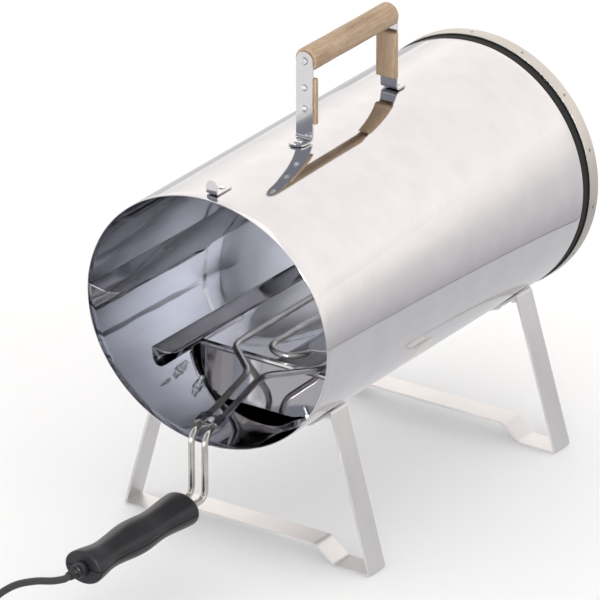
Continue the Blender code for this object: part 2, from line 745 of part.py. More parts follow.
def cord_route():
    """The lead's uncoiled stretch: out of the handle, drooping to the floor, up to the coil."""
    tip = HANDLE_FRONT + (HANDLE_LENGTH + RELIEF_LENGTH + GAP) * Vector(
        (0, -math.cos(HANDLE_TILT), math.sin(HANDLE_TILT))
    )
    lying = FLOOR + CORD_RADIUS + GAP
    return [
        tip,
        tip + Vector((0.0000, -0.0030, 0.0000)),
        tip + Vector((-0.0004, -0.0070, 0.0001)),
        tip + Vector((-0.0055, -0.0175, 0.0012)),
        tip + Vector((-0.0165, -0.0300, 0.0030)),
        tip + Vector((-0.0290, -0.0450, 0.0010)),
        tip + Vector((-0.0390, -0.0620, -0.0080)),
        tip + Vector((-0.0455, -0.0850, -0.0240)),
        tip + Vector((-0.0475, -0.1080, -0.0460)),
        tip + Vector((-0.0472, -0.1300, -0.0680)),
        Vector((-0.0472, -0.3780, lying)),
        Vector((-0.0494, -0.4010, lying)),
    ]


def make_lead(slide):
    tube("mains_lead", spline(cord_route(), 4), CORD_RADIUS, RUBBER, slide, 2)
    ring = [(COIL_INNER, 0.0), (COIL_OUTER, 0.0), (COIL_OUTER, COIL_HEIGHT), (COIL_INNER, COIL_HEIGHT)]
    turn = [2 * math.pi * step / 32 for step in range(32)]
    rows = [[(radius * math.cos(a), radius * math.sin(a), z) for a in turn] for radius, z in ring]
    mesh = finish_mesh("lead_coil", skin(rows, wrap_rows=True, wrap_columns=True))
    add_piece("lead_coil", mesh, RUBBER, slide, (*COIL_CENTRE, FLOOR + GAP))


def make_plug(slide):
    """A round moulded mains plug on its side: tapered boot, gripping body and two pins in blind sockets."""
    rear = Vector((*PLUG_REAR, FLOOR + PLUG_RADIUS + GAP))
    ahead = Vector((1, 0, 0))
    face = PLUG_BOOT + PLUG_BODY
    profile = [
        (0.0, face),
        (PLUG_RADIUS - 0.0015, face),
        (PLUG_RADIUS, face - 0.0015),
        (PLUG_RADIUS, face - 0.0130),
        (PLUG_RADIUS - 0.0030, face - 0.0160),
        (PLUG_RADIUS - 0.0050, PLUG_BOOT + 0.0020),
        (PLUG_RADIUS - 0.0085, PLUG_BOOT),
        (CORD_RADIUS + 0.0030, PLUG_BOOT - 0.0020),
        (CORD_RADIUS + 0.0014, 0.0),
        (0.0, 0.0),
    ]
    body = place("plug_body", turned_mesh("plug_body", profile, 32), RUBBER, slide, rear, ahead)
    pin = [
        (0.0, PLUG_PIN_LENGTH),
        (PLUG_PIN_RADIUS - 0.0010, PLUG_PIN_LENGTH),
        (PLUG_PIN_RADIUS, PLUG_PIN_LENGTH - 0.0015),
        (PLUG_PIN_RADIUS, GAP - PLUG_PIN_SOCKET),
        (0.0, GAP - PLUG_PIN_SOCKET),
    ]
    for label, side in (("front", -1), ("rear", 1)):
        root = rear + ahead * face + Vector((0, side * PLUG_PIN_SPACING / 2, 0))
        drill(body, PLUG_PIN_RADIUS + GAP, root, ahead, 2 * PLUG_PIN_SOCKET)
        place(f"plug_pin_{label}", turned_mesh("plug_pin", pin, 12), STEEL_ZINC, slide, root, ahead)


# ---- Assembly -------------------------------------------------------------------------------------
clear_scene()
PARTS = make_collection("barrel_smoker")
CUTTERS = make_collection("cutters")

STEEL_POLISHED = make_material("polished_steel", (0.72, 0.71, 0.70), 1.0, 0.08)
STEEL_BRUSHED = make_material("brushed_steel", (0.60, 0.58, 0.55), 1.0, 0.35)
STEEL_ZINC = make_material("zinc_fastener", (0.70, 0.70, 0.70), 1.0, 0.25)
ELEMENT_STEEL = make_material("element_steel", (0.55, 0.51, 0.46), 1.0, 0.30)
WOOD = make_material("beech", (0.55, 0.40, 0.26), 0.0, 0.60)
PLASTIC = make_material("black_plastic", (0.020, 0.021, 0.024), 0.0, 0.40)
RUBBER = make_material("cord_rubber", (0.020, 0.020, 0.022), 0.0, 0.50)
SEAL_BLACK = make_material("seal_black", (0.010, 0.010, 0.010), 0.0, 0.80)

BOLT_RADIUS = 0.0024
RIVET_RADIUS = 0.0020
GUARD_RIVET_LENGTH = 0.0062
GRIP_SCREW_RADIUS = 0.0018
GRIP_SCREW_LENGTH = 0.0220
FOOT_SCREW_RADIUS = 0.0024
CLAMP_SCREW_RADIUS = 0.0015
BOLT_MESH = turned_mesh("leg_bolt", pan_head(0.0045, 0.0026, BOLT_RADIUS, 0.0170), 12)
NUT_MESH = hex_nut_mesh("leg_nut", 0.0080, BOLT_RADIUS + GAP, 0.0038)
GUARD_RIVET_HEAD = pan_head(0.0034, 0.0012, RIVET_RADIUS, GUARD_RIVET_LENGTH)
RIVET_MESH = turned_mesh("guard_rivet", GUARD_RIVET_HEAD, 10)
LATCH_RIVET_MESH = turned_mesh("latch_rivet", pan_head(0.0032, 0.0012, RIVET_RADIUS, 0.0040), 10)
GRIP_SCREW_HEAD = pan_head(0.0038, 0.0016, GRIP_SCREW_RADIUS, GRIP_SCREW_LENGTH)
GRIP_SCREW_MESH = turned_mesh("grip_screw", GRIP_SCREW_HEAD, 10)
FOOT_SCREW_MESH = turned_mesh("handle_screw", pan_head(0.0046, 0.0020, FOOT_SCREW_RADIUS, 0.0120), 12)
FOOT_NUT_MESH = hex_nut_mesh("handle_nut", 0.0080, FOOT_SCREW_RADIUS + GAP, 0.0038)
CLAMP_SCREW_MESH = turned_mesh("clamp_screw", pan_head(0.0030, 0.0018, CLAMP_SCREW_RADIUS, 0.0085), 10)
CLAMP_NUT_MESH = hex_nut_mesh("clamp_nut", 0.0055, CLAMP_SCREW_RADIUS + GAP, 0.0024)


def build():
    frame = make_empty("smoker_frame", (0, FRAME_Y, AXIS_HEIGHT))
    barrel = make_barrel(frame)
    make_rear_cover(frame)
    make_seal(frame)
    for label, front in LEG_FRONTS.items():
        leg = make_leg(f"{label}_leg", front, frame)
        make_leg_bolts(leg, label, front, barrel, frame)
    grip = make_grip(frame)
    make_handle_end("front", STRAP_FRONT, -1, barrel, grip, frame)
    make_handle_end("rear", STRAP_REAR, 1, barrel, grip, frame)
    make_latch(barrel, frame)
    for side, label in ((-1, "left"), (1, "right")):
        make_rail(f"upper_rail_{label}", UPPER_RAIL, side, frame)
        make_rail(f"lower_rail_{label}", LOWER_RAIL, side, frame)
    make_chip_tray(frame)
    element_slide = make_empty("element_slide", (0, 0, 0), frame)
    tube("heating_element", element_path(), TUBE_RADIUS, ELEMENT_STEEL, element_slide)
    make_clamp(element_slide)
    make_element_handle(element_slide)
    make_terminals(element_slide)
    make_lead(element_slide)
    make_plug(element_slide)


build()
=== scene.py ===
"""The looks of the electric barrel smoker oven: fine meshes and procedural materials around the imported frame.

Shapes are laid out from the barrel's axis at its open front rim, +Y to the rear cover and +Z up.
ORIGIN carries that point into the frame's own coordinates. Lengths are in metres.
"""

import math
from math import cos, pi, radians, sin

import bmesh
import bpy
from mathutils import Matrix, Vector


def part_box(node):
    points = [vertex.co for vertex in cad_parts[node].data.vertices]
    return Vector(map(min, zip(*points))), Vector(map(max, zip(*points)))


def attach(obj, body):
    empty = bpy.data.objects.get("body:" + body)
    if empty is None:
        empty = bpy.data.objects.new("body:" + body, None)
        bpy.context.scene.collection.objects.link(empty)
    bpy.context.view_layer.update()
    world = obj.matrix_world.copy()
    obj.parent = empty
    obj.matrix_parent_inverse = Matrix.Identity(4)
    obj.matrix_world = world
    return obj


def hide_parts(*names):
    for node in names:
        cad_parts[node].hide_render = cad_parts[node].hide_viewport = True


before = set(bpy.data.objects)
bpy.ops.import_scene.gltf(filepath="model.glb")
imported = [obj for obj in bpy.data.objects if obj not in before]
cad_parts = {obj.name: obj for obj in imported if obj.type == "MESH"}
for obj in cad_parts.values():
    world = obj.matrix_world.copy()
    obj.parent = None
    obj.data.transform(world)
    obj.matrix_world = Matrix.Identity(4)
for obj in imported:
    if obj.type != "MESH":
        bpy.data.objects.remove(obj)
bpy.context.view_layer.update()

# ---- Places and sizes, read from the frame ----
BARREL_LOW, BARREL_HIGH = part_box("barrel")
COVER_LOW, COVER_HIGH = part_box("rear_cover")
ORIGIN = Vector((0.0, BARREL_LOW.y, (COVER_LOW.z + COVER_HIGH.z) / 2))


def local_box(node):
    """Lowest and highest corner of a CAD node, seen from ORIGIN."""
    low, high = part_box(node)
    return low - ORIGIN, high - ORIGIN


GAP = 0.0003
SHEET = 0.001
NECK_LENGTH = 0.0235
COVER_RADIUS = COVER_HIGH.x
COVER_REAR = COVER_HIGH.y - ORIGIN.y
COVER_FRONT = COVER_LOW.y - ORIGIN.y
BARREL_LENGTH = BARREL_HIGH.y - ORIGIN.y - NECK_LENGTH
BARREL_RADIUS = 0.130
NECK_RADIUS = 0.1274
BARREL_SIDES = 288
OVALITY = 0.040
FLOOR = -ORIGIN.z


def add(name, data):
    obj = bpy.data.objects.new(name, data)
    bpy.context.scene.collection.objects.link(obj)
    return obj


def turn_to(obj, rotation):
    obj.rotation_mode = "QUATERNION"
    obj.rotation_quaternion = rotation


# ---- Camera ----
CAMERA_AT = ORIGIN + Vector((3.5396, -5.0490, 2.8155))
CAMERA_TARGET = ORIGIN + Vector((0.0392, 0.0964, -0.0026))
CAMERA_LENS = 440.7


def make_camera():
    data = bpy.data.cameras.new("camera")
    data.lens = CAMERA_LENS
    data.sensor_width = 36.0
    data.clip_end = 100.0
    camera = add("camera", data)
    camera.location = CAMERA_AT
    turn_to(camera, (CAMERA_TARGET - CAMERA_AT).to_track_quat("-Z", "Y"))
    bpy.context.scene.camera = camera


make_camera()


# ---- Material helpers ----
def fill_ramp(ramp, stops):
    while len(ramp.elements) < len(stops):
        ramp.elements.new(0.5)
    for element, (position, colour) in zip(ramp.elements, stops):
        element.position = position
        element.color = (*colour, 1.0)


def ramp_along(tree, space, axis, stops):
    """Colours that change along one axis of a coordinate space."""
    coordinates = tree.nodes.new("ShaderNodeTexCoord")
    split = tree.nodes.new("ShaderNodeSeparateXYZ")
    ramp = tree.nodes.new("ShaderNodeValToRGB")
    fill_ramp(ramp.color_ramp, stops)
    tree.links.new(coordinates.outputs[space], split.inputs["Vector"])
    tree.links.new(split.outputs[axis], ramp.inputs["Fac"])
    return ramp.outputs["Color"]


class Nodes:
    """Short calls for one material's node tree."""

    def __init__(self, name, colour, metallic, roughness):
        self.material = bpy.data.materials.new(name)
        self.material.use_nodes = True
        self.tree = self.material.node_tree
        self.shader = self.tree.nodes["Principled BSDF"]
        self.shader.inputs["Base Color"].default_value = (*colour, 1.0)
        self.shader.inputs["Metallic"].default_value = metallic
        self.shader.inputs["Roughness"].default_value = roughness
        self.coordinates = self.tree.nodes.new("ShaderNodeTexCoord")

    def node(self, kind, values, links):
        node = self.tree.nodes.new(kind)
        for socket, value in values.items():
            node.inputs[socket].default_value = value
        for socket, output in links.items():
            self.tree.links.new(output, node.inputs[socket])
        return node

    def place(self, stretch, space="Object"):
        vector = self.coordinates.outputs[space]
        return self.node("ShaderNodeMapping", {"Scale": stretch}, {"Vector": vector}).outputs["Vector"]

    def noise(self, vector, scale=1.0, detail=3.0, roughness=0.5, distortion=0.0):
        values = {"Scale": scale, "Detail": detail, "Roughness": roughness, "Distortion": distortion}
        return self.node("ShaderNodeTexNoise", values, {"Vector": vector}).outputs["Fac"]

    def even(self, scale, detail):
        """Noise of one size in every direction."""
        return self.noise(self.place((1.0, 1.0, 1.0)), scale, detail)

    def spread(self, value, low, high):
        """Maps the middle of a pattern's range onto low..high."""
        values = {"From Min": 0.3, "From Max": 0.7, "To Min": low, "To Max": high}
        return self.node("ShaderNodeMapRange", values, {"Value": value}).outputs["Result"]

    def colours(self, value, stops):
        node = self.node("ShaderNodeValToRGB", {}, {"Fac": value})
        fill_ramp(node.color_ramp, stops)
        return node.outputs["Color"]

    def tint(self, value, low, high):
        """Colours from low to high over the middle of a pattern's range."""
        return self.colours(value, ((0.3, low), (0.7, high)))

    def multiply(self, first, second):
        node = self.tree.nodes.new("ShaderNodeMix")
        node.data_type = "RGBA"
        node.blend_type = "MULTIPLY"
        node.inputs["Factor"].default_value = 1.0
        self.tree.links.new(first, node.inputs[6])
        self.tree.links.new(second, node.inputs[7])
        return node.outputs[2]

    def bump(self, height, strength, distance, below=None):
        values = {"Strength": strength, "Distance": distance}
        links = {"Height": height} if below is None else {"Height": height, "Normal": below}
        return self.node("ShaderNodeBump", values, links).outputs["Normal"]

    def finish(self, colour=None, roughness=None, normal=None):
        for output, socket in ((colour, "Base Color"), (roughness, "Roughness"), (normal, "Normal")):
            if output is not None:
                self.tree.links.new(output, self.shader.inputs[socket])
        return self.material


# ---- Materials ----
def polished_steel():
    """Mirror-polished sheet: slow waves of the sheet, faint rubbing marks along its length."""
    n = Nodes("polished_steel", (0.66, 0.65, 0.66), 1.0, 0.05)
    waves = n.noise(n.place((1.0, 0.35, 1.0)), 16.0, 1.0)
    rubbed = n.noise(n.place((900.0, 8.0, 900.0)), 1.0, 2.0)
    smudges = n.even(38.0, 4.0)
    normal = n.bump(waves, 0.30, 0.0012)
    normal = n.bump(rubbed, 0.05, 0.00001, normal)
    tint = n.tint(smudges, (0.64, 0.63, 0.64), (0.68, 0.67, 0.675))
    return n.finish(tint, n.spread(smudges, 0.035, 0.075), normal)


def mark_steel():
    """Scorched spot marks on the cover's skirt."""
    n = Nodes("brushed_steel_mark", (0.30, 0.25, 0.20), 1.0, 0.45)
    cloud = n.even(420.0, 3.0)
    tint = n.tint(cloud, (0.20, 0.165, 0.13), (0.42, 0.37, 0.31))
    return n.finish(tint, n.spread(cloud, 0.38, 0.52), n.bump(cloud, 0.3, 0.00005))


def inner_steel():
    """The barrel's inside: the same polish, a little bluer and more wavy, with a faint haze."""
    n = Nodes("polished_steel_inside", (0.76, 0.765, 0.79), 1.0, 0.03)
    waves = n.noise(n.place((1.0, 0.45, 1.0)), 22.0, 2.0)
    haze = n.noise(n.place((1.0, 0.6, 1.0)), 30.0, 4.0)
    tint = n.tint(haze, (0.74, 0.745, 0.77), (0.78, 0.785, 0.81))
    return n.finish(tint, n.spread(haze, 0.02, 0.045), n.bump(waves, 0.30, 0.0012))


def satin_inside():
    """The inner face of the rear cover: matt rolled sheet."""
    n = Nodes("satin_steel_inside", (0.80, 0.80, 0.84), 1.0, 0.55)
    cloud = n.even(24.0, 4.0)
    tint = n.tint(cloud, (0.77, 0.77, 0.81), (0.83, 0.83, 0.87))
    return n.finish(tint, n.spread(cloud, 0.50, 0.60), n.bump(cloud, 0.05, 0.0004))


def brushed_steel():
    """Drawn strip and sheet, with fine lines along it."""
    n = Nodes("brushed_steel", (0.62, 0.60, 0.58), 1.0, 0.30)
    lines = n.noise(n.place((14.0, 2600.0, 1.0), "UV"), 1.0, 3.0, 0.65)
    cloud = n.noise(n.place((18.0, 18.0, 1.0), "UV"), 1.0, 3.0)
    tint = n.tint(lines, (0.71, 0.695, 0.685), (0.80, 0.785, 0.775))
    tint = n.multiply(tint, n.tint(cloud, (0.93, 0.93, 0.93), (1.0, 1.0, 1.0)))
    return n.finish(tint, n.spread(lines, 0.36, 0.46), n.bump(lines, 0.18, 0.00002))


def cover_steel():
    """The rear cover's skirt and disc: satin sheet with lines running round it, a little warm."""
    n = Nodes("brushed_steel_round", (0.62, 0.60, 0.57), 1.0, 0.34)
    lines = n.noise(n.place((9.0, 2200.0, 1.0), "UV"), 1.0, 3.0, 0.65)
    cloud = n.even(26.0, 4.0)
    tint = n.tint(lines, (0.50, 0.475, 0.44), (0.63, 0.605, 0.565))
    tint = n.multiply(tint, n.tint(cloud, (0.94, 0.93, 0.92), (1.0, 1.0, 1.0)))
    return n.finish(tint, n.spread(lines, 0.28, 0.42), n.bump(lines, 0.25, 0.00002))


def zinc():
    n = Nodes("zinc_fastener", (0.80, 0.80, 0.81), 1.0, 0.30)
    grain = n.even(900.0, 3.0)
    tint = n.tint(grain, (0.74, 0.74, 0.75), (0.88, 0.88, 0.89))
    return n.finish(tint, n.spread(grain, 0.24, 0.38), n.bump(grain, 0.2, 0.00002))


def element_steel():
    """The heater's drawn tube: satin, slightly straw-coloured, with faint specks and scale."""
    n = Nodes("element_steel", (0.60, 0.56, 0.51), 1.0, 0.24)
    scale = n.noise(n.place((1.0, 1.0, 1.0)), 60.0, 5.0, 0.6)
    speck = n.even(1400.0, 2.0)
    stops = ((0.32, (0.58, 0.545, 0.50)), (0.55, (0.68, 0.65, 0.61)), (0.75, (0.73, 0.705, 0.67)))
    tint = n.colours(scale, stops)
    return n.finish(tint, n.spread(scale, 0.24, 0.17), n.bump(speck, 0.10, 0.00001))


def beech(along, name):
    """Light beech with its grain along one axis: slow figure, fine pores and short dark flecks."""
    n = Nodes(name, (0.46, 0.335, 0.225), 0.0, 0.55)

    def grain(with_grain, across_grain):
        return [with_grain if axis == along else across_grain for axis in range(3)]

    figure = n.noise(n.place(grain(14.0, 160.0)), 1.0, 4.0, 0.6, 0.6)
    pores = n.noise(n.place(grain(50.4, 576.0)), 1.0, 3.0, 0.7)
    flecks = n.noise(n.place(grain(170.0, 1100.0)), 1.0, 1.0, 0.5)
    stops = ((0.28, (0.27, 0.180, 0.110)), (0.50, (0.375, 0.268, 0.172)), (0.74, (0.455, 0.345, 0.235)))
    tint = n.colours(figure, stops)
    tint = n.multiply(tint, n.colours(pores, ((0.30, (0.80, 0.76, 0.72)), (0.60, (1.0, 1.0, 1.0)))))
    tint = n.multiply(tint, n.colours(flecks, ((0.26, (0.62, 0.52, 0.44)), (0.36, (1.0, 1.0, 1.0)))))
    return n.finish(tint, n.spread(pores, 0.62, 0.48), n.bump(pores, 0.35, 0.00012))


def black_plastic():
    """Moulded phenolic: satin black with a faint grain."""
    n = Nodes("black_plastic", (0.020, 0.020, 0.023), 0.0, 0.36)
    n.shader.inputs["Specular IOR Level"].default_value = 0.36
    grain = n.even(1500.0, 3.0)
    cloud = n.even(45.0, 3.0)
    tint = n.tint(cloud, (0.011, 0.011, 0.014), (0.019, 0.019, 0.022))
    return n.finish(tint, n.spread(cloud, 0.30, 0.40), n.bump(grain, 0.10, 0.00004))


def cord_rubber():
    n = Nodes("cord_rubber", (0.024, 0.024, 0.027), 0.0, 0.48)
    grain = n.even(1100.0, 3.0)
    cloud = n.even(70.0, 3.0)
    tint = n.tint(cloud, (0.020, 0.020, 0.023), (0.032, 0.032, 0.036))
    return n.finish(tint, n.spread(cloud, 0.42, 0.54), n.bump(grain, 0.15, 0.00004))


def seal_black():
    # Near-black for the seal band and as painted shade: the band stands for the shaded gap at the neck, and the
    # cover's front lip also takes this material.
    n = Nodes("seal_black", (0.010, 0.010, 0.010), 0.0, 0.80)
    grain = n.even(500.0, 3.0)
    tint = n.tint(grain, (0.006, 0.006, 0.006), (0.016, 0.015, 0.015))
    return n.finish(tint, None, n.bump(grain, 0.3, 0.0002))


POLISHED = polished_steel()
BRUSHED = brushed_steel()
COVER = cover_steel()
MARK = mark_steel()
INNER = inner_steel()
SATIN = satin_inside()
ZINC = zinc()
ELEMENT = element_steel()
BEECH_LONG = beech(1, "beech")
BEECH_UPRIGHT = beech(2, "beech_upright")
PLASTIC = black_plastic()
RUBBER = cord_rubber()
SEAL_AND_PAINTED_SHADE = seal_black()


# ---- Mesh helpers ----
def finish_mesh(name, bm, smooth_angle=35):
    bmesh.ops.recalc_face_normals(bm, faces=bm.faces)
    mesh = bpy.data.meshes.new(name)
    bm.to_mesh(mesh)
    bm.free()
    mesh.shade_smooth()
    mesh.set_sharp_from_angle(angle=radians(smooth_angle))
    return mesh


def show(name, data, material, body, stands_for=(), location=(0, 0, 0), rotation=None):
    """Puts a piece in the scene, on its body, in place of the CAD nodes that it stands for."""
    obj = add(name, data)
    if not data.materials:
        data.materials.append(material)
    obj.location = ORIGIN + Vector(location)
    if rotation is not None:
        turn_to(obj, rotation)
    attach(obj, body)
    if stands_for:
        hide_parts(*stands_for)
    return obj


def full_turn(steps):
    return [2 * pi * step / steps for step in range(steps)]


def arc(centre_x, centre_y, radius, start, end, steps):
    """Points round part of a circle, its angles in degrees."""
    turn = [radians(start + (end - start) * step / steps) for step in range(steps + 1)]
    return [(centre_x + radius * cos(a), centre_y + radius * sin(a)) for a in turn]


def skin(rows, wrap_rows=False, wrap_columns=False):
    """A grid surface through rows of points, with UVs in metres: U along the rows' order, V across."""
    bm = bmesh.new()
    layer = bm.loops.layers.uv.new("UVMap")
    grid = [[bm.verts.new(point) for point in row] for row in rows]
    row_count, column_count = len(grid), len(grid[0])
    along, across = [0.0], [0.0]
    for i in range(row_count):
        along.append(along[-1] + (grid[(i + 1) % row_count][0].co - grid[i][0].co).length)
    for j in range(column_count):
        across.append(across[-1] + (grid[0][(j + 1) % column_count].co - grid[0][j].co).length)
    for i in range(row_count if wrap_rows else row_count - 1):
        for j in range(column_count if wrap_columns else column_count - 1):
            low, high = grid[i], grid[(i + 1) % row_count]
            right = (j + 1) % column_count
            face = bm.faces.new((low[j], low[right], high[right], high[j]))
            corners = ((i, j), (i, j + 1), (i + 1, j + 1), (i + 1, j))
            for loop, (row, column) in zip(face.loops, corners):
                loop[layer].uv = (along[row], across[column])
    return bm


def close_ends(bm, count):
    """Closes a grid's first and last rows, each of count points, and gives the first."""
    bm.verts.ensure_lookup_table()
    first, last = bm.verts[:count], bm.verts[len(bm.verts) - count :]
    bm.faces.new(first)
    bm.faces.new(last)
    return first


def thicken(obj, thickness, offset=0.0):
    solidify = obj.modifiers.new("Thickness", "SOLIDIFY")
    solidify.thickness = thickness
    solidify.offset = offset
    solidify.use_even_offset = True


def soften(obj, width, segments=2, angle=40):
    bevel = obj.modifiers.new("Edges", "BEVEL")
    bevel.width = width
    bevel.segments = segments
    bevel.limit_method = "ANGLE"
    bevel.angle_limit = radians(angle)
    bevel.harden_normals = True


def bent_sheet(
    name, rows, material, body, node, thickness, edge, angle=40, smooth_angle=35, at=(0, 0, 0), turn=None
):
    """A piece of sheet or strip with its thickness and softened edges."""
    obj = show(name, finish_mesh(name, skin(rows), smooth_angle), material, body, (node,), at, turn)
    thicken(obj, thickness)
    soften(obj, edge, 2, angle)


def turned_mesh(name, profile, steps=48, smooth_angle=35):
    """A solid of revolution about local Z, with U round it and V down the profile."""
    rows = [[(r * cos(a), r * sin(a), z) for r, z in profile] for a in full_turn(steps)]
    bm = skin(rows, wrap_rows=True)
    bmesh.ops.remove_doubles(bm, verts=bm.verts, dist=0.000001)
    return finish_mesh(name, bm, smooth_angle)


def rounded(points, radius, steps=8):
    points = [Vector(point) for point in points]
    smooth = [points[0]]
    for before, corner, after in zip(points, points[1:], points[2:]):
        into = (before - corner).normalized()
        away = (after - corner).normalized()
        reach_in = min(radius, (before - corner).length * 0.45)
        reach_out = min(radius, (after - corner).length * 0.45)
        start, end = corner + into * reach_in, corner + away * reach_out
        for step in range(steps + 1):
            t = step / steps
            smooth.append(start * (1 - t) ** 2 + corner * 2 * t * (1 - t) + end * t**2)
    smooth.append(points[-1])
    return smooth


def spline(points, per_span):
    """Points along a smooth curve through the given ones."""
    points = [Vector(point) for point in points]
    padded = [points[0] * 2 - points[1], *points, points[-1] * 2 - points[-2]]
    smooth = [points[0]]
    for a, b, c, d in zip(padded, padded[1:], padded[2:], padded[3:]):
        for step in range(1, per_span + 1):
            t = step / per_span
            curved = (a * 2 - b * 5 + c * 4 - d) * t**2 + (b * 3 - a - c * 3 + d) * t**3
            smooth.append((b * 2 + (c - a) * t + curved) / 2)
    return smooth


def bent_tube(name, points, radius, material, body, stands_for, resolution=5):
    curve = bpy.data.curves.new(name, "CURVE")
    curve.dimensions = "3D"
    curve.bevel_depth = radius
    curve.bevel_resolution = resolution
    curve.use_fill_caps = True
    line = curve.splines.new("POLY")
    line.points.add(len(points) - 1)
    for slot, point in zip(line.points, points):
        slot.co = (*point, 1.0)
    line.use_smooth = True
    return show(name, curve, material, body, stands_for)


def strap_rows(path, half_width, columns, across, round_start=False, round_end=False):
    path = [Vector(point) for point in path]
    first = (path[1] - path[0]).normalized()
    last = (path[-2] - path[-1]).normalized()
    rows = [[] for _ in path]
    for column in range(columns + 1):
        offset = -half_width * cos(pi * column / columns)
        inset = half_width - math.sqrt(max(half_width**2 - offset**2, 0.0))
        for index, point in enumerate(path):
            if index == 0 and round_start:
                point = point + first * inset
            if index == len(path) - 1 and round_end:
                point = point + last * inset
            rows[index].append(point + across * offset)
    return rows


def facing(direction):
    return Vector(direction).to_track_quat("Z", "Y")


def stretch(y):
    """How far the barrel is out of round there, as a share of its radius."""
    return OVALITY * (1 - min(max(y / BARREL_LENGTH, 0.0), 1.0))


def wall_normal(angle, y):
    across, up = cos(angle) / (1 + stretch(y)), sin(angle) / (1 - stretch(y))
    return Vector((across, 0.0, up)).normalized()


def wall(angle, y, inset=0.0, radius=BARREL_RADIUS):
    """A point of the barrel's outer face, moved inward by inset."""
    wide, high = radius * (1 + stretch(y)), radius * (1 - stretch(y))
    return Vector((wide * cos(angle), y, high * sin(angle))) - wall_normal(angle, y) * inset


# ---- Mains lead: route, coil, tie and plug ----
CORD_RADIUS = 0.0034
LYING = FLOOR + CORD_RADIUS + GAP
HANDLE_TILT = radians(1.0)
HANDLE_AXIS = Vector((0, -cos(HANDLE_TILT), sin(HANDLE_TILT)))
HANDLE_FRONT = Vector((0.0, -0.0404, -0.1733))
HANDLE_LENGTH = 0.1577
RELIEF_LENGTH = 0.0220
COIL_CENTRE = Vector((-0.0965, -0.4300, 0.0))
TURN_STEP = 2 * CORD_RADIUS
OUTER_TURN = 0.0470
PLUG_REAR = Vector((-0.0665, -0.3830, FLOOR + 0.0193))


DROOP = (
    (0.0000, 0.0000, 0.0000),
    (0.0000, -0.0030, 0.0000),
    (-0.0004, -0.0070, 0.0001),
    (-0.0055, -0.0175, 0.0012),
    (-0.0165, -0.0300, 0.0030),
    (-0.0290, -0.0450, 0.0010),
    (-0.0390, -0.0620, -0.0080),
    (-0.0455, -0.0850, -0.0240),
    (-0.0475, -0.1080, -0.0460),
    (-0.0472, -0.1300, -0.0680),
)


def lead_route():
    """The lead's uncoiled stretch: out of the handle, drooping to the floor, up to the coil."""
    tip = HANDLE_FRONT + (HANDLE_LENGTH + RELIEF_LENGTH + GAP) * HANDLE_AXIS
    lying = [Vector((-0.0472, -0.3780, LYING)), Vector((-0.0494, -0.4010, LYING))]
    return [tip + Vector(offset) for offset in DROOP] + lying


def eased(turn, start, end):
    share = min(max((turn - start) / (end - start), 0.0), 1.0)
    return share * share * (3 - 2 * share)


def coil_point(turn):
    """Where the wound lead lies after so many turns: three rings inward, three outward on top, then off."""
    inward = eased(turn, 0.80, 1.0) + eased(turn, 1.80, 2.0)
    outward = eased(turn, 3.50, 3.70) + eased(turn, 4.50, 4.70)
    layers = eased(turn, 2.55, 2.80) + eased(turn, 5.25, 5.50)
    radius = OUTER_TURN - TURN_STEP * (inward - outward)
    angle = -2 * pi * turn
    rise = LYING + TURN_STEP * layers
    return COIL_CENTRE + Vector((radius * cos(angle), radius * sin(angle), rise))


def lead_path():
    points = spline(lead_route(), 6)
    for point in points:
        point.z = max(point.z, LYING)
    turns, per_turn = 5.75, 40
    count = round(turns * per_turn)
    points += [coil_point(turns * step / count) for step in range(count + 1)]
    points += [PLUG_REAR + Vector((-0.0150, 0, -0.0008)), PLUG_REAR + Vector((0.0020, 0, 0))]
    return points


def make_lead():
    stands_for = ("mains_lead", "lead_coil")
    lead = bent_tube("mains_lead_sheath", lead_path(), CORD_RADIUS, RUBBER, "element", stands_for, 4)
    tie = make_tie()
    plug, pins = make_plug()
    ORIGIN + lead_path()[0]


def make_tie():
    """A soft strap once round the coil's turns."""
    half_across, half_high, corner = 0.0114, 0.0074, 0.0040
    middle = Vector((OUTER_TURN - TURN_STEP, 0.0, half_high + 0.0001))
    outline = []
    for quarter, (right, up) in enumerate(((1, 1), (-1, 1), (-1, -1), (1, -1))):
        centre = (right * (half_across - corner), up * (half_high - corner))
        outline += arc(*centre, corner, 90 * quarter, 90 * (quarter + 1), 6)
    rows = [[middle + Vector((x, side, z)) for x, z in outline] for side in (-0.0045, 0.0, 0.0045)]
    tie = show("lead_tie", finish_mesh("lead_tie", skin(rows, wrap_columns=True)), RUBBER, "element")
    tie.parent = None
    where = Matrix.Rotation(radians(205), 4, "Z")
    tie.matrix_world = Matrix.Translation(ORIGIN + COIL_CENTRE + Vector((0, 0, FLOOR))) @ where
    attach(tie, "element")
    thicken(tie, 0.0008, -1.0)
    return tie


def rib(out, at, width, depth):
    """Profile of one rib of a moulded boot and the groove below it."""
    low = at - width
    return [(out, at), (out, low), (out - depth, low - 0.0003), (out - depth, low - 0.0010)]


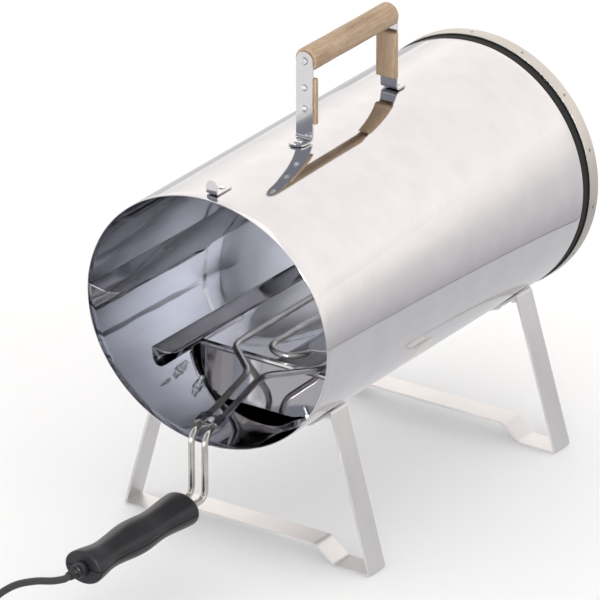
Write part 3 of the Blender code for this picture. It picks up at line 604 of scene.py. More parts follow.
def make_plug():
    """A round plug: ribbed boot, waisted body, a broad rim at its face, and two pins."""
    boot, body, radius, pin_radius, pin_length = 0.0250, 0.0330, 0.0190, 0.0024, 0.0190
    pin_offset = 0.0095
    face = boot + body
    ahead = Vector((1, 0, 0))
    profile = [(0.0, face), (radius - 0.0022, face), (radius - 0.0008, face - 0.0003)]
    profile += [(radius, face - 0.0012), (radius, face - 0.0130), (radius - 0.0004, face - 0.0142)]
    profile.append((radius - 0.0032, face - 0.0165))
    for step in range(9):
        share = step / 8
        profile.append((radius - 0.0036 - 0.0034 * share**2, face - 0.0175 - (body - 0.0185) * share))
    profile += [(radius - 0.0090, boot - 0.0004), (CORD_RADIUS + 0.0030, boot - 0.0020)]
    rings = 6
    for ring in range(rings):
        at = boot - 0.0030 - ring * (boot - 0.0050) / rings
        out = CORD_RADIUS + 0.0029 - 0.0015 * ring / rings
        profile += rib(out, at, 0.0020, 0.0009)
    profile += [(CORD_RADIUS + 0.0012, 0.0), (0.0, 0.0)]
    mesh = turned_mesh("mains_plug", profile, 64)
    plug = show("mains_plug", mesh, RUBBER, "element", ("plug_body",), PLUG_REAR, facing(ahead))
    pin = [(0.0, pin_length), (pin_radius - 0.0012, pin_length), (pin_radius - 0.0003, pin_length - 0.0008)]
    pin += [(pin_radius, pin_length - 0.0020), (pin_radius, -0.0030), (0.0, -0.0030)]
    mesh = turned_mesh("plug_pin", pin, 32)
    pins = []
    for label, side in (("front", -1), ("rear", 1)):
        root = PLUG_REAR + ahead * face + Vector((0, side * pin_offset, 0))
        stands_for = (f"plug_pin_{label}",)
        pins.append(show(f"mains_pin_{label}", mesh, ZINC, "element", stands_for, root, facing(ahead)))
    return plug, pins


make_lead()


# ---- Barrel, black seal band standing in for the shaded gap, and rear cover ----
def make_barrel():
    """The drawn sheet: rolled-smooth rim, straight barrel, stepped-in neck behind, and its inner face."""
    step_end = BARREL_LENGTH + 0.0015
    neck_end = BARREL_LENGTH + NECK_LENGTH
    outer = [(0.0, 0.0005, BARREL_RADIUS), (0.0001, 0.0002, BARREL_RADIUS), (0.0005, 0.0, BARREL_RADIUS)]
    outer += [(BARREL_LENGTH * share, 0.0, BARREL_RADIUS) for share in (0.02, 0.25, 0.5, 0.75, 0.98)]
    outer += [(BARREL_LENGTH - 0.0006, 0.0, BARREL_RADIUS), (BARREL_LENGTH + 0.0002, 0.0004, BARREL_RADIUS)]
    outer += [(step_end, 0.0, NECK_RADIUS), (neck_end - 0.0004, 0.0, NECK_RADIUS)]
    outer += [(neck_end, 0.0004, NECK_RADIUS)]
    inner = [(neck_end, SHEET - 0.0004, NECK_RADIUS), (neck_end - 0.0004, SHEET, NECK_RADIUS)]
    inner += [(step_end, SHEET, NECK_RADIUS), (BARREL_LENGTH - 0.0003, SHEET, BARREL_RADIUS)]
    inner += [(BARREL_LENGTH * share, SHEET, BARREL_RADIUS) for share in (0.98, 0.75, 0.5, 0.25, 0.02)]
    inner += [(0.0005, SHEET, BARREL_RADIUS), (0.0001, SHEET - 0.0002, BARREL_RADIUS)]
    turn = full_turn(BARREL_SIDES)
    rows = [[wall(a, y, inset, radius) for a in turn] for y, inset, radius in outer + inner]
    mesh = finish_mesh("barrel_sheet", skin(rows, wrap_rows=True, wrap_columns=True), 30)
    mesh.materials.append(POLISHED)
    mesh.materials.append(INNER)
    for face in mesh.polygons:
        face.material_index = int(face.normal.x * face.center.x + face.normal.z * face.center.z < 0)
    show("barrel_sheet", mesh, POLISHED, "shell", ("barrel",))


def make_seal_and_gap_shade():
    # A seal band in the neck, made black as painted shade for the gap between barrel and cover.
    low, high = local_box("rear_seal")
    outside, inside = high.x, 0.1278
    front, rear = low.y, high.y
    profile = [(inside, rear), (outside - 0.0003, rear), (outside, rear - 0.0003), (outside, front + 0.0003)]
    profile += [(outside - 0.0003, front), (inside, front), (inside, rear)]
    mesh = turned_mesh("seal_band_and_gap_shade", [(radius, -y) for radius, y in profile[::-1]], 192)
    show("seal_band_and_gap_shade", mesh, SEAL_AND_PAINTED_SHADE, "shell", ("rear_seal",), (0, 0, 0), facing((0, -1, 0)))


def make_rear_cover():
    """A pressed cap: rolled front edge, satin skirt with spot marks, and a dished disc; the lip inside the
    rolled edge is painted black as shade.
    """
    outer, flange, sheet, edge = COVER_RADIUS, 0.1284, SHEET, 0.0022
    dish_rim, dish_floor, depth = 0.1120, 0.1060, 0.0030
    marks, mark_inset = 14, 0.0070
    back, front = COVER_REAR, COVER_FRONT
    profile = [(0.0, back - depth), (dish_floor, back - depth), (dish_floor + 0.0012, back - depth + 0.0003)]
    profile += [(dish_rim - 0.0012, back - 0.0003), (dish_rim, back), (outer - edge, back)]
    profile += arc(outer - edge, back - edge, edge, 90, 0, 6)[1:-1]
    profile += [(outer, back - edge), (outer, front + 0.0008), (outer - 0.0002, front + 0.0002)]
    profile += [(outer - 0.0007, front), (flange + 0.0003, front), (flange, front + 0.0003)]
    profile += [(flange, front + sheet), (outer - sheet, front + sheet), (outer - sheet, back - 0.0028)]
    profile += [(outer - 0.0028, back - sheet), (dish_rim, back - sheet), (dish_floor, back - depth - sheet)]
    profile += [(0.0, back - depth - sheet)]
    mesh = turned_mesh("rear_cap", profile, BARREL_SIDES, 30)
    for material in (COVER, SATIN, SEAL_AND_PAINTED_SHADE):
        mesh.materials.append(material)
    for face in mesh.polygons:
        reach = math.hypot(face.center.x, face.center.y)
        if face.normal.z < -0.4 and face.center.z > back - 2 * depth:
            face.material_index = 1
        # Painted shade: the front lip's annulus and inner step inside the rolled edge take the black material,
        # a dark line beside the bright edge.
        elif reach < outer - 0.0011 and face.center.z < back - 2 * depth:
            face.material_index = 2
    show("rear_cap", mesh, COVER, "rear_cover", ("rear_cover",), (0, 0, 0), facing((0, 1, 0)))

    cap = [(0.0, 0.00035), (0.0007, 0.0003), (0.0013, 0.00018), (0.0018, 0.0), (0.0018, -0.0003)]
    mark = turned_mesh("cover_mark", cap + [(0.0, -0.0003)], 20)
    for number in range(marks):
        angle = radians(17.5 + 360 / marks * number)
        outward = Vector((cos(angle), 0, sin(angle)))
        at = outward * outer + Vector((0, front + mark_inset, 0))
        show(f"cover_mark_{number + 1}", mark, MARK, "rear_cover", (), at, facing(outward))


# ---- Legs ----
LEG_THICKNESS = 0.0025
LEG_BOLT_ANGLES = (radians(28.4), radians(38.6))


def leg_path(y):
    """Along one strap: under the barrel, down to a foot, over the floor bar, and back up."""
    half = LEG_THICKNESS / 2
    low = FLOOR + half
    outer_x, inner_x, bar_x, bar_rise, bend = 0.1397, 0.0995, 0.0789, 0.0163, 0.0035
    start, top = radians(23.0), radians(44.5)
    turn = [start + (top - start) * step / 16 - pi / 2 for step in range(17)]
    flange = [wall(angle, y, -(half + 2 * GAP)) for angle in turn]
    right = flange[:-1]
    right += rounded([flange[-2], flange[-1], (outer_x, y, low), (inner_x, y, low)], bend, 8)[1:-1]
    bar = [(outer_x, y, low), (inner_x, y, low), (bar_x, y, low + bar_rise), (0.0, y, low + bar_rise)]
    right += rounded(bar, bend, 8)[1:-1]
    left = [Vector((-point.x, point.y, point.z)) for point in right]
    return left + right[::-1]


def make_leg(label):
    low, high = local_box(f"{label}_leg")
    width = high.y - low.y
    rows = [[point, point + Vector((0, width, 0))] for point in leg_path(low.y)]
    bent_sheet(f"{label}_leg_strap", rows, BRUSHED, "shell", f"{label}_leg", LEG_THICKNESS, 0.0003)

    bolt_y = low.y + width / 2
    number = 0
    for side in (-1, 1):
        for down in LEG_BOLT_ANGLES:
            number += 1
            angle = -pi / 2 + side * down
            outward = wall_normal(angle, bolt_y)
            seat = wall(angle, bolt_y, -(LEG_THICKNESS + 4 * GAP))
            inside = wall(angle, bolt_y, SHEET + 2 * GAP)
            fasten(f"{label}_leg_bolt_{number}", "threaded", BOLT_MESH, "shell", seat, outward)
            fasten(f"{label}_leg_nut_{number}", "hex", NUT_MESH, "shell", inside, -outward)


# ---- Fasteners ----
def fasten(node, look, mesh, body, seat, direction):
    """A fastener in place of its CAD node, its head or face towards direction."""
    return show(f"{node}_{look}", mesh, ZINC, body, (node,), seat, facing(direction))


def dome(radius, height):
    """Profile of a domed head from its crown down."""
    return [(radius * x, height * z) for x, z in arc(0.0, 0.0, 1.0, 90, 0, 8)]


def threaded(radius, top, bottom, pitch):
    """Profile down a screw thread, as close rings."""
    profile, z = [], top
    while z - pitch > bottom:
        profile += [(radius, z), (radius, z - 0.2 * pitch), (radius * 0.80, z - 0.5 * pitch)]
        profile += [(radius * 0.80, z - 0.6 * pitch)]
        z -= pitch
    return profile + [(radius * 0.9, z), (radius * 0.72, bottom), (0.0, bottom)]


def bolt_mesh(name, head_radius, head_height, radius, length):
    profile = dome(head_radius, head_height) + [(radius, 0.0)]
    return turned_mesh(name, profile + threaded(radius, -0.0020, -length, 0.0008), 32)


def rivet_mesh(name, head_radius, head_height, radius, length):
    profile = dome(head_radius, head_height) + [(radius, 0.0), (radius, -length), (0.0, -length)]
    return turned_mesh(name, profile, 32)


def nut_mesh(name, across_flats, bore, height):
    """A hexagon nut: chamfered corners by meeting a cone, and an open bore."""
    turn = full_turn(48)
    half_flats, widest = across_flats / 2, across_flats / math.sqrt(3) - 0.0002
    rows = []
    for inset, z in ((0.0004, 0.0), (0.0, 0.0004), (0.0, height - 0.0005), (0.0006, height)):
        limit = half_flats + 0.0002 - inset / 2 if inset else widest
        row = []
        for angle in turn:
            from_flat = (angle + pi / 6) % (pi / 3) - pi / 6
            reach = min(half_flats / cos(pi / 6 - abs(from_flat)), limit)
            row.append((reach * cos(angle), reach * sin(angle), z))
        rows.append(row)
    for reach, z in ((0.0003, height), (0.0, height - 0.0004), (0.0, 0.0004), (0.0003, 0.0)):
        rows.append([((bore + reach) * cos(a), (bore + reach) * sin(a), z) for a in turn])
    return finish_mesh(name, skin(rows, wrap_rows=True, wrap_columns=True), 30)


def cross_recess(obj, arm, depth, height):
    """Cuts a cross drive into a screw's head."""
    for turn in range(2):
        bm = bmesh.new()
        size = Matrix.Diagonal((2 * arm, arm * 0.42, depth * 2, 1))
        bmesh.ops.create_cube(bm, size=1.0, matrix=Matrix.Rotation(turn * pi / 2, 4, "Z") @ size)
        cutter = add(f"cross_{turn}_{obj.name}", finish_mesh("cross", bm))
        cutter.hide_render = True
        cutter.hide_viewport = True
        cutter.parent = obj
        cutter.location = (0, 0, height)
        cut = obj.modifiers.new("Recess", "BOOLEAN")
        cut.operation = "DIFFERENCE"
        cut.object = cutter


BOLT_MESH = bolt_mesh("leg_bolt_threaded", 0.0045, 0.0026, 0.0024, 0.0170)
NUT_MESH = nut_mesh("leg_nut_hex", 0.0080, 0.0024, 0.0038)
GUARD_RIVET_MESH = rivet_mesh("guard_rivet_domed", 0.0034, 0.0012, 0.0020, 0.0062)
LATCH_RIVET_MESH = rivet_mesh("latch_rivet_domed", 0.0032, 0.0012, 0.0020, 0.0040)
GRIP_SCREW_MESH = bolt_mesh("grip_screw_threaded", 0.0038, 0.0016, 0.0018, 0.0220)
FOOT_SCREW_MESH = bolt_mesh("handle_screw_threaded", 0.0046, 0.0020, 0.0024, 0.0120)
CLAMP_SCREW_MESH = bolt_mesh("clamp_screw_threaded", 0.0030, 0.0018, 0.0015, 0.0085)
CLAMP_NUT_MESH = nut_mesh("clamp_nut_hex", 0.0055, 0.0015, 0.0024)


# ---- Carry handle ----
GRIP_RADIUS = 0.0119
GRIP_HEIGHT = 0.2065
STRAP_WIDTH = 0.0185
STRAP_THICKNESS = 0.0020
FOOT_TAB = 0.0200
GUARD_SIZE = (0.0225, 0.0050, 0.0460)
GUARD_CENTRE = 0.1665
GUARD_RIVETS = (0.1585, 0.1795)
STRAPS = {"front": (0.1620, -1), "rear": (0.3040, 1)}


def make_handle_end(label, y, outward):
    """One upright of the handle with its heat guard, rivets, screws and nut."""
    face = Vector((0, outward, 0))
    half = STRAP_THICKNESS / 2
    foot_reach = y + outward * FOOT_TAB
    foot_z = max(wall(pi / 2, end).z for end in (y, foot_reach)) + half + GAP
    path = [(0, y, GRIP_HEIGHT + STRAP_WIDTH / 2), (0, y, foot_z), (0, foot_reach, foot_z)]
    rows = strap_rows(rounded(path, 0.0045, 10), STRAP_WIDTH / 2, 28, Vector((1, 0, 0)), True, True)
    name, node = f"handle_upright_{label}", f"handle_strap_{label}"
    bent_sheet(name, rows, POLISHED, "shell", node, STRAP_THICKNESS, 0.0003, 50)

    bm = bmesh.new()
    bmesh.ops.create_cube(bm, size=1.0, matrix=Matrix.Diagonal((*GUARD_SIZE, 1.0)))
    guard_y = y - outward * (half + GAP + GUARD_SIZE[1] / 2)
    name = f"guard_block_{label}"
    at = (0, guard_y, GUARD_CENTRE)
    guard = show(name, finish_mesh(name, bm), BEECH_UPRIGHT, "shell", (f"heat_guard_{label}",), at)
    soften(guard, 0.0009, 4)

    strap_face = y + outward * (half + GAP)
    for number, height in enumerate(GUARD_RIVETS, 1):
        seat = (0, strap_face, height)
        fasten(f"guard_rivet_{label}_{number}", "domed", GUARD_RIVET_MESH, "shell", seat, face)
    seat = (0, strap_face, GRIP_HEIGHT)
    screw = fasten(f"grip_screw_{label}", "cross", GRIP_SCREW_MESH, "shell", seat, face)
    cross_recess(screw, 0.0019, 0.0009, 0.0016)

    screw_y = y + outward * (FOOT_TAB - STRAP_WIDTH / 2)
    seat = (0, screw_y, foot_z + half + GAP)
    screw = fasten(f"handle_screw_{label}", "cross", FOOT_SCREW_MESH, "shell", seat, (0, 0, 1))
    cross_recess(screw, 0.0024, 0.0011, 0.0020)
    inside = wall(pi / 2, screw_y, SHEET + 2 * GAP)
    fasten(f"handle_nut_{label}", "hex", NUT_MESH, "shell", inside, (0, 0, -1))


def make_grip():
    """A turned dowel with rounded ends and the faint unevenness of wood."""
    low, high = local_box("carry_grip")
    length, edge, uneven = high.y - low.y, 0.0016, 0.00012
    profile = [(0.0, length), (GRIP_RADIUS - edge, length)]
    profile += arc(GRIP_RADIUS - edge, length - edge, edge, 90, 0, 5)[1:]
    for step in range(1, 12):
        share = step / 12
        swell = uneven * sin(5 * pi * share)
        profile.append((GRIP_RADIUS - uneven + swell, length - edge - (length - 2 * edge) * share))
    profile += arc(GRIP_RADIUS - edge, edge, edge, 0, -90, 5)
    profile.append((0.0, 0.0))
    mesh = turned_mesh("grip_dowel", [(radius, z + low.y) for radius, z in profile], 64)
    for vertex in mesh.vertices:
        x, y, z = vertex.co
        vertex.co = (x, z, GRIP_HEIGHT - y)
    show("grip_dowel", mesh, BEECH_LONG, "shell", ("carry_grip",))


# ---- Latch ----
def make_latch():
    """Hook plate for a front lid: flat foot, upright tongue with a rounded head."""
    half, front, length, height, width, rivet_share = 0.00075, 0.0105, 0.0235, 0.0135, 0.0120, 0.68
    base = wall(pi / 2, front + length).z + half + GAP
    path = [(0, front, base + height), (0, front, base), (0, front + length, base)]
    rows = strap_rows(rounded(path, 0.0024, 8), width / 2, 20, Vector((1, 0, 0)), True)
    bent_sheet("latch_plate", rows, POLISHED, "shell", "lid_latch", 2 * half, 0.0002, 50)
    seat = (0, front + length * rivet_share, base + half + GAP)
    show("latch_rivet_domed", LATCH_RIVET_MESH, ZINC, "shell", ("lid_latch_rivet",), seat, facing((0, 0, 1)))


# ---- Shelf rails ----
UPPER_RAIL = {"angle": 2.0, "width": 0.0295, "droop": 0.0055, "front": 0.0030, "corner": 0.018}
LOWER_RAIL = {"angle": -37.7, "width": 0.0200, "droop": 0.0035, "front": 0.0630, "corner": 0.012}
FLANGE_ANGLE = 5.0
RAIL_REAR = local_box("upper_rail_left")[1].y
FLANGE_SHARES = (-1.0, -0.75, -0.5, -0.25, -0.06)
LEDGE_SHARES = (0.0, 0.06, 0.2, 0.35, 0.5, 0.6, 0.7, 0.78, 0.85, 0.9, 0.94, 0.97, 0.99, 1.0)
RAIL_SHARES = FLANGE_SHARES + LEDGE_SHARES


def rail_point(rail, side, share, y):
    """Across one rail: its flange on the wall, the fold, then the ledge out to its free edge."""
    angle = radians(rail["angle"]) + radians(FLANGE_ANGLE) * min(share, 0.0)
    point = wall(angle, y, SHEET * 1.5 + GAP)
    point += Vector((-rail["width"], 0, -rail["droop"])) * max(share, 0.0)
    return (point.x * side, point.y, point.z)


def make_rail(name, rail, side):
    """One rail from its rounded front corner to the rear."""
    corner = rail["corner"]

    def front(share):
        past = max(share * rail["width"] - (rail["width"] - corner), 0.0)
        return rail["front"] + corner - math.sqrt(max(corner**2 - past**2, 0.0))

    rows = [[rail_point(rail, side, share, front(max(share, 0.0))) for share in RAIL_SHARES]]
    for part in range(1, 9):
        y = rail["front"] + corner + (RAIL_REAR - rail["front"] - corner) * part / 8
        rows.append([rail_point(rail, side, share, y) for share in RAIL_SHARES])
    bent_sheet(f"{name}_ledge", rows, POLISHED, "shell", name, SHEET, 0.0002, 60, 45)


# ---- Chip tray ----
TRAY_TOP, TRAY_BOTTOM = -0.0835, -0.1165
TRAY_TOP_HALF, TRAY_BOTTOM_HALF = 0.0880, 0.0400
TRAY_FRONT_TOP, TRAY_FRONT_BOTTOM = 0.1180, 0.0830
TRAY_REAR, TRAY_LIP, TRAY_BULGE = 0.3850, 0.0050, 0.0065
LIP_TAPER, LIP_RISE, HEM = 0.965, 0.0003, 0.0022


def tray_front(height):
    """How far forward the sloping front wall reaches at a height."""
    share = (TRAY_TOP - height) / (TRAY_TOP - TRAY_BOTTOM)
    return TRAY_FRONT_TOP + (TRAY_FRONT_BOTTOM - TRAY_FRONT_TOP) * share


def tray_section():
    """The tray's cross-section from one top edge down, over the floor and up to the other."""
    steps = 20
    top, foot = Vector((TRAY_TOP_HALF, TRAY_TOP)), Vector((TRAY_BOTTOM_HALF, TRAY_BOTTOM))
    across = (top - foot).normalized()
    outward = Vector((across.y, -across.x))
    half = []
    for step in range(steps + 1):
        share = step / steps
        half.append(top.lerp(foot, share) + outward * TRAY_BULGE * 4 * share * (1 - share))
    return half + [Vector((-point.x, point.y)) for point in half[::-1]]


def make_chip_tray():
    """A trough with a sloping front end, a lip over its front edge and a folded hem."""
    section = tray_section()
    rows = []
    for share in (0.0, 0.25, 0.5, 0.75, 1.0):
        fronts = [tray_front(point.y) for point in section]
        rows.append([(p.x, front + (TRAY_REAR - front) * share, p.y) for p, front in zip(section, fronts)])
    bm = skin(rows)
    front_ring = close_ends(bm, len(section))
    corners = (front_ring[0], front_ring[-1])
    lip = [bm.verts.new((v.co.x * LIP_TAPER, v.co.y - TRAY_LIP, v.co.z + LIP_RISE)) for v in corners]
    hem = [bm.verts.new((v.co.x, v.co.y - 0.0004, v.co.z - HEM)) for v in lip]
    bm.faces.new((corners[0], corners[1], lip[1], lip[0]))
    bm.faces.new((lip[0], lip[1], hem[1], hem[0]))
    tray = show("tray_trough", finish_mesh("tray_trough", bm), POLISHED, "shell", ("chip_tray",))
    thicken(tray, SHEET)
    soften(tray, 0.0003, 2, 40)


# ---- Heating element ----
TUBE_RADIUS, TUBE_SPACING = 0.00325, 0.0150
RISER_Y, ELEMENT_HEIGHT = -0.0140, -0.0784
OUTER_LEG_X, INNER_LEG_X = 0.0490, 0.0200
SPREAD_Y, INNER_TURN_Y, ELEMENT_REAR = 0.1150, 0.1230, 0.3680
RISER_TOP, APEX = -0.1090, Vector((0.0, 0.0800, -0.0820))
TUBE_IN_HANDLE, CLAMP_FROM_RISER = 0.0480, 0.0230
SADDLE_THICKNESS, SADDLE_HALF, SADDLE_REACH = 0.0010, 0.0150, 0.0070


def half_turn(centre_x, centre_y, radius, way):
    return [Vector((x, y, ELEMENT_HEIGHT)) for x, y in arc(centre_x, centre_y, radius, 0, 180 * way, 24)]


def element_path():
    """Along the tube: up from the handle, along one outer leg, back by the inner loop, and mirrored."""
    x = TUBE_SPACING / 2
    rear_radius = (OUTER_LEG_X - INNER_LEG_X) / 2
    rear_centre = ELEMENT_REAR - rear_radius
    foot = Vector((x, RISER_Y, HANDLE_FRONT.z + 0.0015))
    start = foot + TUBE_IN_HANDLE * HANDLE_AXIS
    side = [start, foot, (x, RISER_Y, RISER_TOP), (x, APEX.y, APEX.z)]
    side += [(OUTER_LEG_X, y, ELEMENT_HEIGHT) for y in (SPREAD_Y, rear_centre)]
    half = rounded(side, 0.0110, 10)[:-1]
    half += half_turn((OUTER_LEG_X + INNER_LEG_X) / 2, rear_centre, rear_radius, 1)
    half += half_turn(0.0, INNER_TURN_Y + INNER_LEG_X, INNER_LEG_X, -1)[:13]
    other = [Vector((-point.x, point.y, point.z)) for point in half[:-1]]
    return half + other[::-1]


def make_element():
    """The bent tube, with a ribbed crimp on each end inside the handle."""
    path = element_path()
    bent_tube("element_tube", path, TUBE_RADIUS, ELEMENT, "element", ("heating_element",), 6)
    back = (path[0] - path[1]).normalized()
    for label, end in (("right", path[0]), ("left", path[-1])):
        profile = [(0.0, 0.020), (0.0012, 0.020), (0.0016, 0.0190), (0.0020, 0.0165), (0.0030, 0.014)]
        profile += [(0.0030, 0.0090), (0.0026, 0.0085), (0.0026, 0.0060), (0.0030, 0.0055)]
        profile += [(0.0030, GAP), (0.0, GAP)]
        mesh = turned_mesh(f"crimp_{label}", profile, 32)
        show(f"crimp_{label}", mesh, ZINC, "element", (f"terminal_{label}",), end, facing(back))


def clamp_section(way):
    """Across one saddle plate: flat edge, an arch over each tube, flat edge."""
    half = SADDLE_THICKNESS / 2
    arch = TUBE_RADIUS + GAP + half
    flat = way * (half + 2 * GAP)
    rise = math.degrees(math.asin(abs(flat) / arch))
    section = [(-SADDLE_HALF, flat), (-SADDLE_HALF + 0.0015, flat)]
    for centre in (-TUBE_SPACING / 2, TUBE_SPACING / 2):
        section += arc(centre, 0.0, arch, way * (180 - rise), way * rise, 20)
    return section + [(SADDLE_HALF - 0.0015, flat), (SADDLE_HALF, flat)]


def make_clamp():
    """Two wavy saddle plates over the tubes, drawn together by a screw."""
    foot = Vector((0, RISER_Y, RISER_TOP))
    along = (APEX - foot).normalized()
    centre = foot + along * CLAMP_FROM_RISER
    lie = Matrix.Rotation(math.asin(along.z), 4, "X").to_quaternion()
    place = {"at": centre, "turn": lie}
    for label, way in (("upper", 1), ("lower", -1)):
        rows = [[(x, end, z) for x, z in clamp_section(way)] for end in (-SADDLE_REACH, 0.0, SADDLE_REACH)]
        name, node = f"clamp_saddle_{label}", f"clamp_{label}"
        bent_sheet(name, rows, POLISHED, "element", node, SADDLE_THICKNESS, 0.0002, 50, **place)
    up = lie @ Vector((0, 0, 1))
    seat = up * (SADDLE_THICKNESS + 3 * GAP)
    screw = fasten("clamp_screw", "cross", CLAMP_SCREW_MESH, "element", centre + seat, up)
    cross_recess(screw, 0.0016, 0.0009, 0.0018)
    fasten("clamp_nut", "hex", CLAMP_NUT_MESH, "element", centre - seat, -up)


# ---- Element handle ----
HANDLE_SWELLS = ((0.0, 0.0181), (0.29, 0.0154), (0.495, 0.0173), (0.78, 0.0142), (1.0, 0.0178))
HANDLE_WIDE, HANDLE_LOW, HANDLE_WALL = 1.157, 0.890, 0.0026


def handle_radius(share):
    """The handle's radius part of the way along, easing from one swell to the next."""
    for (start, before), (end, after) in zip(HANDLE_SWELLS, HANDLE_SWELLS[1:]):
        if share <= end:
            ease = (1 - cos(pi * (share - start) / (end - start))) / 2
            return before + (after - before) * ease
    return HANDLE_SWELLS[-1][1]


def handle_profile():
    """Closed outline of one half's wall: distance along the handle and radius."""
    end, mouth, cord_hole, end_wall = HANDLE_LENGTH, 0.0120, 0.0060, 0.0040
    front_round, cord_round, stations = 0.0036, 0.0022, 48
    outer = arc(front_round, handle_radius(0.02) - front_round, front_round, 180, 90, 6)
    for step in range(1, stations):
        share = 0.024 + (0.985 - 0.024) * step / stations
        outer.append((share * end, handle_radius(share)))
    outer += arc(end - cord_round, handle_radius(1) - cord_round, cord_round, 90, 0, 6)
    inner = [(end, cord_hole), (end - end_wall, cord_hole)]
    for step in range(13):
        share = 0.955 - 0.90 * step / 12
        inner.append((share * end, handle_radius(share) - HANDLE_WALL))
    return outer + inner + [(end_wall, mouth), (0.0, mouth)]


def make_handle_half(label, way):
    """One moulded half: a flattened, waisted shell open at the split."""
    profile = handle_profile()
    rows = []
    for x, z in arc(0.0, 0.0, 1.0, 0, 180, 40):
        wide, high = x * HANDLE_WIDE, z * HANDLE_LOW * way
        rows.append([(radius * wide, -along, radius * high) for along, radius in profile])
    bm = skin(rows, wrap_columns=True)
    close_ends(bm, len(profile))
    tilt = Matrix.Rotation(-HANDLE_TILT, 4, "X").to_quaternion()
    lift = tilt @ Vector((0, 0, way * GAP))
    name = f"handle_shell_{label}"
    mesh = finish_mesh(name, bm, 40)
    half = show(name, mesh, PLASTIC, "element", (f"handle_{label}",), HANDLE_FRONT + lift, tilt)
    soften(half, 0.0004, 2, 50)


def make_relief():
    """Short bulbous strain relief with a ring, a ribbed neck and a tapered end."""
    r = CORD_RADIUS
    profile = [(0.0, RELIEF_LENGTH), (r + 0.0005, RELIEF_LENGTH), (r + 0.0008, RELIEF_LENGTH - 0.0004)]
    for ring in range(3):
        at = RELIEF_LENGTH - 0.0016 - ring * 0.0028
        out = r + 0.0011 + 0.0003 * ring
        profile += rib(out, at, 0.0014, 0.0006)
    profile += [(r + 0.0020, 0.0128), (r + 0.0030, 0.0124), (r + 0.0034, 0.0112), (r + 0.0032, 0.0098)]
    profile += [(r + 0.0026, 0.0090), (r + 0.0034, 0.0078), (r + 0.0040, 0.0060), (r + 0.0043, 0.0040)]
    profile += [(r + 0.0043, 0.0020), (r + 0.0041, GAP), (r + 0.0014, GAP)]
    profile += [(r + 0.0014, -0.0060), (0.0, -0.0060)]
    mesh = turned_mesh("relief_boot", profile, 48)
    root = HANDLE_FRONT + HANDLE_AXIS * HANDLE_LENGTH
    show("relief_boot", mesh, PLASTIC, "element", ("strain_relief",), root, facing(HANDLE_AXIS))


# ---- Floor, light and surroundings ----
def make_floor():
    bpy.ops.mesh.primitive_plane_add(size=60.0, location=(0, 0, 0))
    floor = bpy.context.object
    floor.name = "floor"
    n = Nodes("floor", (0.79, 0.805, 0.815), 0.0, 0.60)
    cloud = n.even(1.5, 2.0)
    n.shader.inputs["Specular IOR Level"].default_value = 0.2
    n.finish(n.tint(cloud, (0.785, 0.80, 0.81), (0.795, 0.81, 0.82)))
    floor.data.materials.append(n.material)


def make_area(name, location, target, size, power, colour=(1, 1, 1)):
    data = bpy.data.lights.new(name, "AREA")
    data.shape = "RECTANGLE"
    data.size, data.size_y = size
    data.energy = power
    data.color = colour
    light = add(name, data)
    light.location = location
    turn_to(light, (Vector(target) - Vector(location)).to_track_quat("-Z", "Y"))
    light.visible_camera = False
    return light


def make_world():
    """An even white studio, a little brighter and warmer overhead."""
    world = bpy.data.worlds.new("studio")
    world.use_nodes = True
    tree = world.node_tree
    background = tree.nodes["Background"]
    stops = (
        (0.0, (1.00, 1.00, 1.00)),
        (0.08, (1.12, 1.09, 1.07)),
        (0.30, (1.36, 1.30, 1.26)),
        (0.90, (1.24, 1.21, 1.19)),
    )
    tree.links.new(ramp_along(tree, "Generated", "Z", stops), background.inputs["Color"])
    background.inputs["Strength"].default_value = 1.0
    bpy.context.scene.world = world


def make_card(name, corners, stops):
    """A studio card that only reflections see: its glow runs from its foot to its head."""
    bm = bmesh.new()
    layer = bm.loops.layers.uv.new("UVMap")
    face = bm.faces.new([bm.verts.new(corner) for corner in corners])
    for loop, place in zip(face.loops, ((0, 0), (1, 0), (1, 1), (0, 1))):
        loop[layer].uv = place
    mesh = bpy.data.meshes.new(name)
    bm.to_mesh(mesh)
    bm.free()
    card = add(name, mesh)
    material = bpy.data.materials.new(name)
    material.use_nodes = True
    tree = material.node_tree
    tree.nodes.clear()
    glow = tree.nodes.new("ShaderNodeEmission")
    surface = tree.nodes.new("ShaderNodeOutputMaterial")
    tree.links.new(ramp_along(tree, "UV", "Y", stops), glow.inputs["Color"])
    tree.links.new(glow.outputs["Emission"], surface.inputs["Surface"])
    mesh.materials.append(material)
    for kind in ("camera", "diffuse", "shadow", "transmission", "volume_scatter"):
        setattr(card, f"visible_{kind}", False)


def make_rear_card(edge_from, edge_to):
    """The far side of the studio, from the table's edge up, with the dark line of the edge at its foot."""
    head = Vector((0, 0, 0.42))
    backdrop = (
        (0.0, (0.24, 0.235, 0.25)),
        (0.010, (0.24, 0.235, 0.25)),
        (0.014, (0.56, 0.55, 0.575)),
        (0.22, (0.70, 0.69, 0.715)),
        (0.56, (0.90, 0.88, 0.88)),
        (0.78, (1.16, 1.11, 1.09)),
        (1.0, (1.33, 1.27, 1.23)),
    )
    make_card("rear_card", [edge_from, edge_to, edge_to + head, edge_from + head], backdrop)


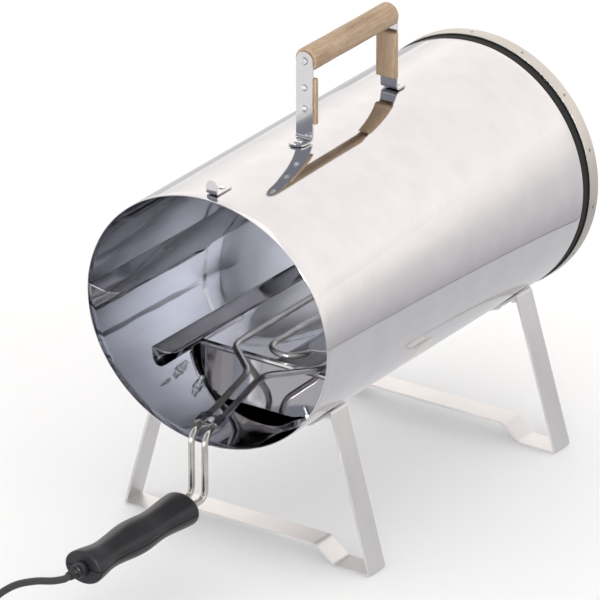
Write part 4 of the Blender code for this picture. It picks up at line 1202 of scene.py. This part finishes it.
def make_floor_card(edge_from, edge_to):
    """The strip of table inside that edge, just above the floor."""
    inward, lift = Vector((-0.80, -0.92, 0.0)), Vector((0, 0, 0.0004))
    colour = (0.70, 0.695, 0.71)
    corners = [corner + lift for corner in (edge_from, edge_to, edge_to + inward, edge_from + inward)]
    make_card("floor_card", corners, ((0.0, colour), (1.0, colour)))


def make_front_card():
    """The grey-blue room in front of the barrel's open end, darker towards the ceiling."""
    bluish = (
        (0.0, (0.72, 0.73, 0.76)),
        (0.035, (0.42, 0.435, 0.50)),
        (0.25, (0.35, 0.365, 0.43)),
        (0.5, (0.16, 0.17, 0.20)),
        (1.0, (0.10, 0.10, 0.12)),
    )
    left, right, head = Vector((-4.0, -1.6, 0.30)), Vector((4.0, -1.6, 0.30)), Vector((0, 0.6, 7.0))
    make_card("front_card", [left, right, right + head, left + head], bluish)


def make_studio():
    make_floor()
    make_world()
    foot = ORIGIN + Vector((0, 0, FLOOR))
    edge = foot + Vector((2.53, -1.20, 0.0)), foot + Vector((-2.20, 2.86, 0.0))
    make_rear_card(*edge)
    make_floor_card(*edge)
    make_front_card()
    make_area("overhead", (0.2, 0.2, 2.6), (0, 0, 0.1), (2.4, 2.4), 5.0)
    cool = (0.95, 0.97, 1.0)
    beam = make_area("front_beam", (0.05, -2.2, 0.42), (0.0, 0.30, 0.245), (0.45, 0.45), 0.9, cool)
    beam.data.spread = radians(20)
    scene = bpy.context.scene
    scene.view_settings.view_transform = "Standard"
    scene.cycles.max_bounces = 20
    scene.cycles.glossy_bounces = 8


# ---- Assembly ----
make_barrel()
make_seal_and_gap_shade()
make_rear_cover()
make_leg("front")
make_leg("rear")
make_grip()
for side_label, (strap_y, way_out) in STRAPS.items():
    make_handle_end(side_label, strap_y, way_out)
make_latch()
for side_sign, side_label in ((-1, "left"), (1, "right")):
    make_rail(f"upper_rail_{side_label}", UPPER_RAIL, side_sign)
    make_rail(f"lower_rail_{side_label}", LOWER_RAIL, side_sign)
make_chip_tray()
make_element()
make_clamp()
make_handle_half("upper", 1)
make_handle_half("lower", -1)
make_relief()
make_studio()
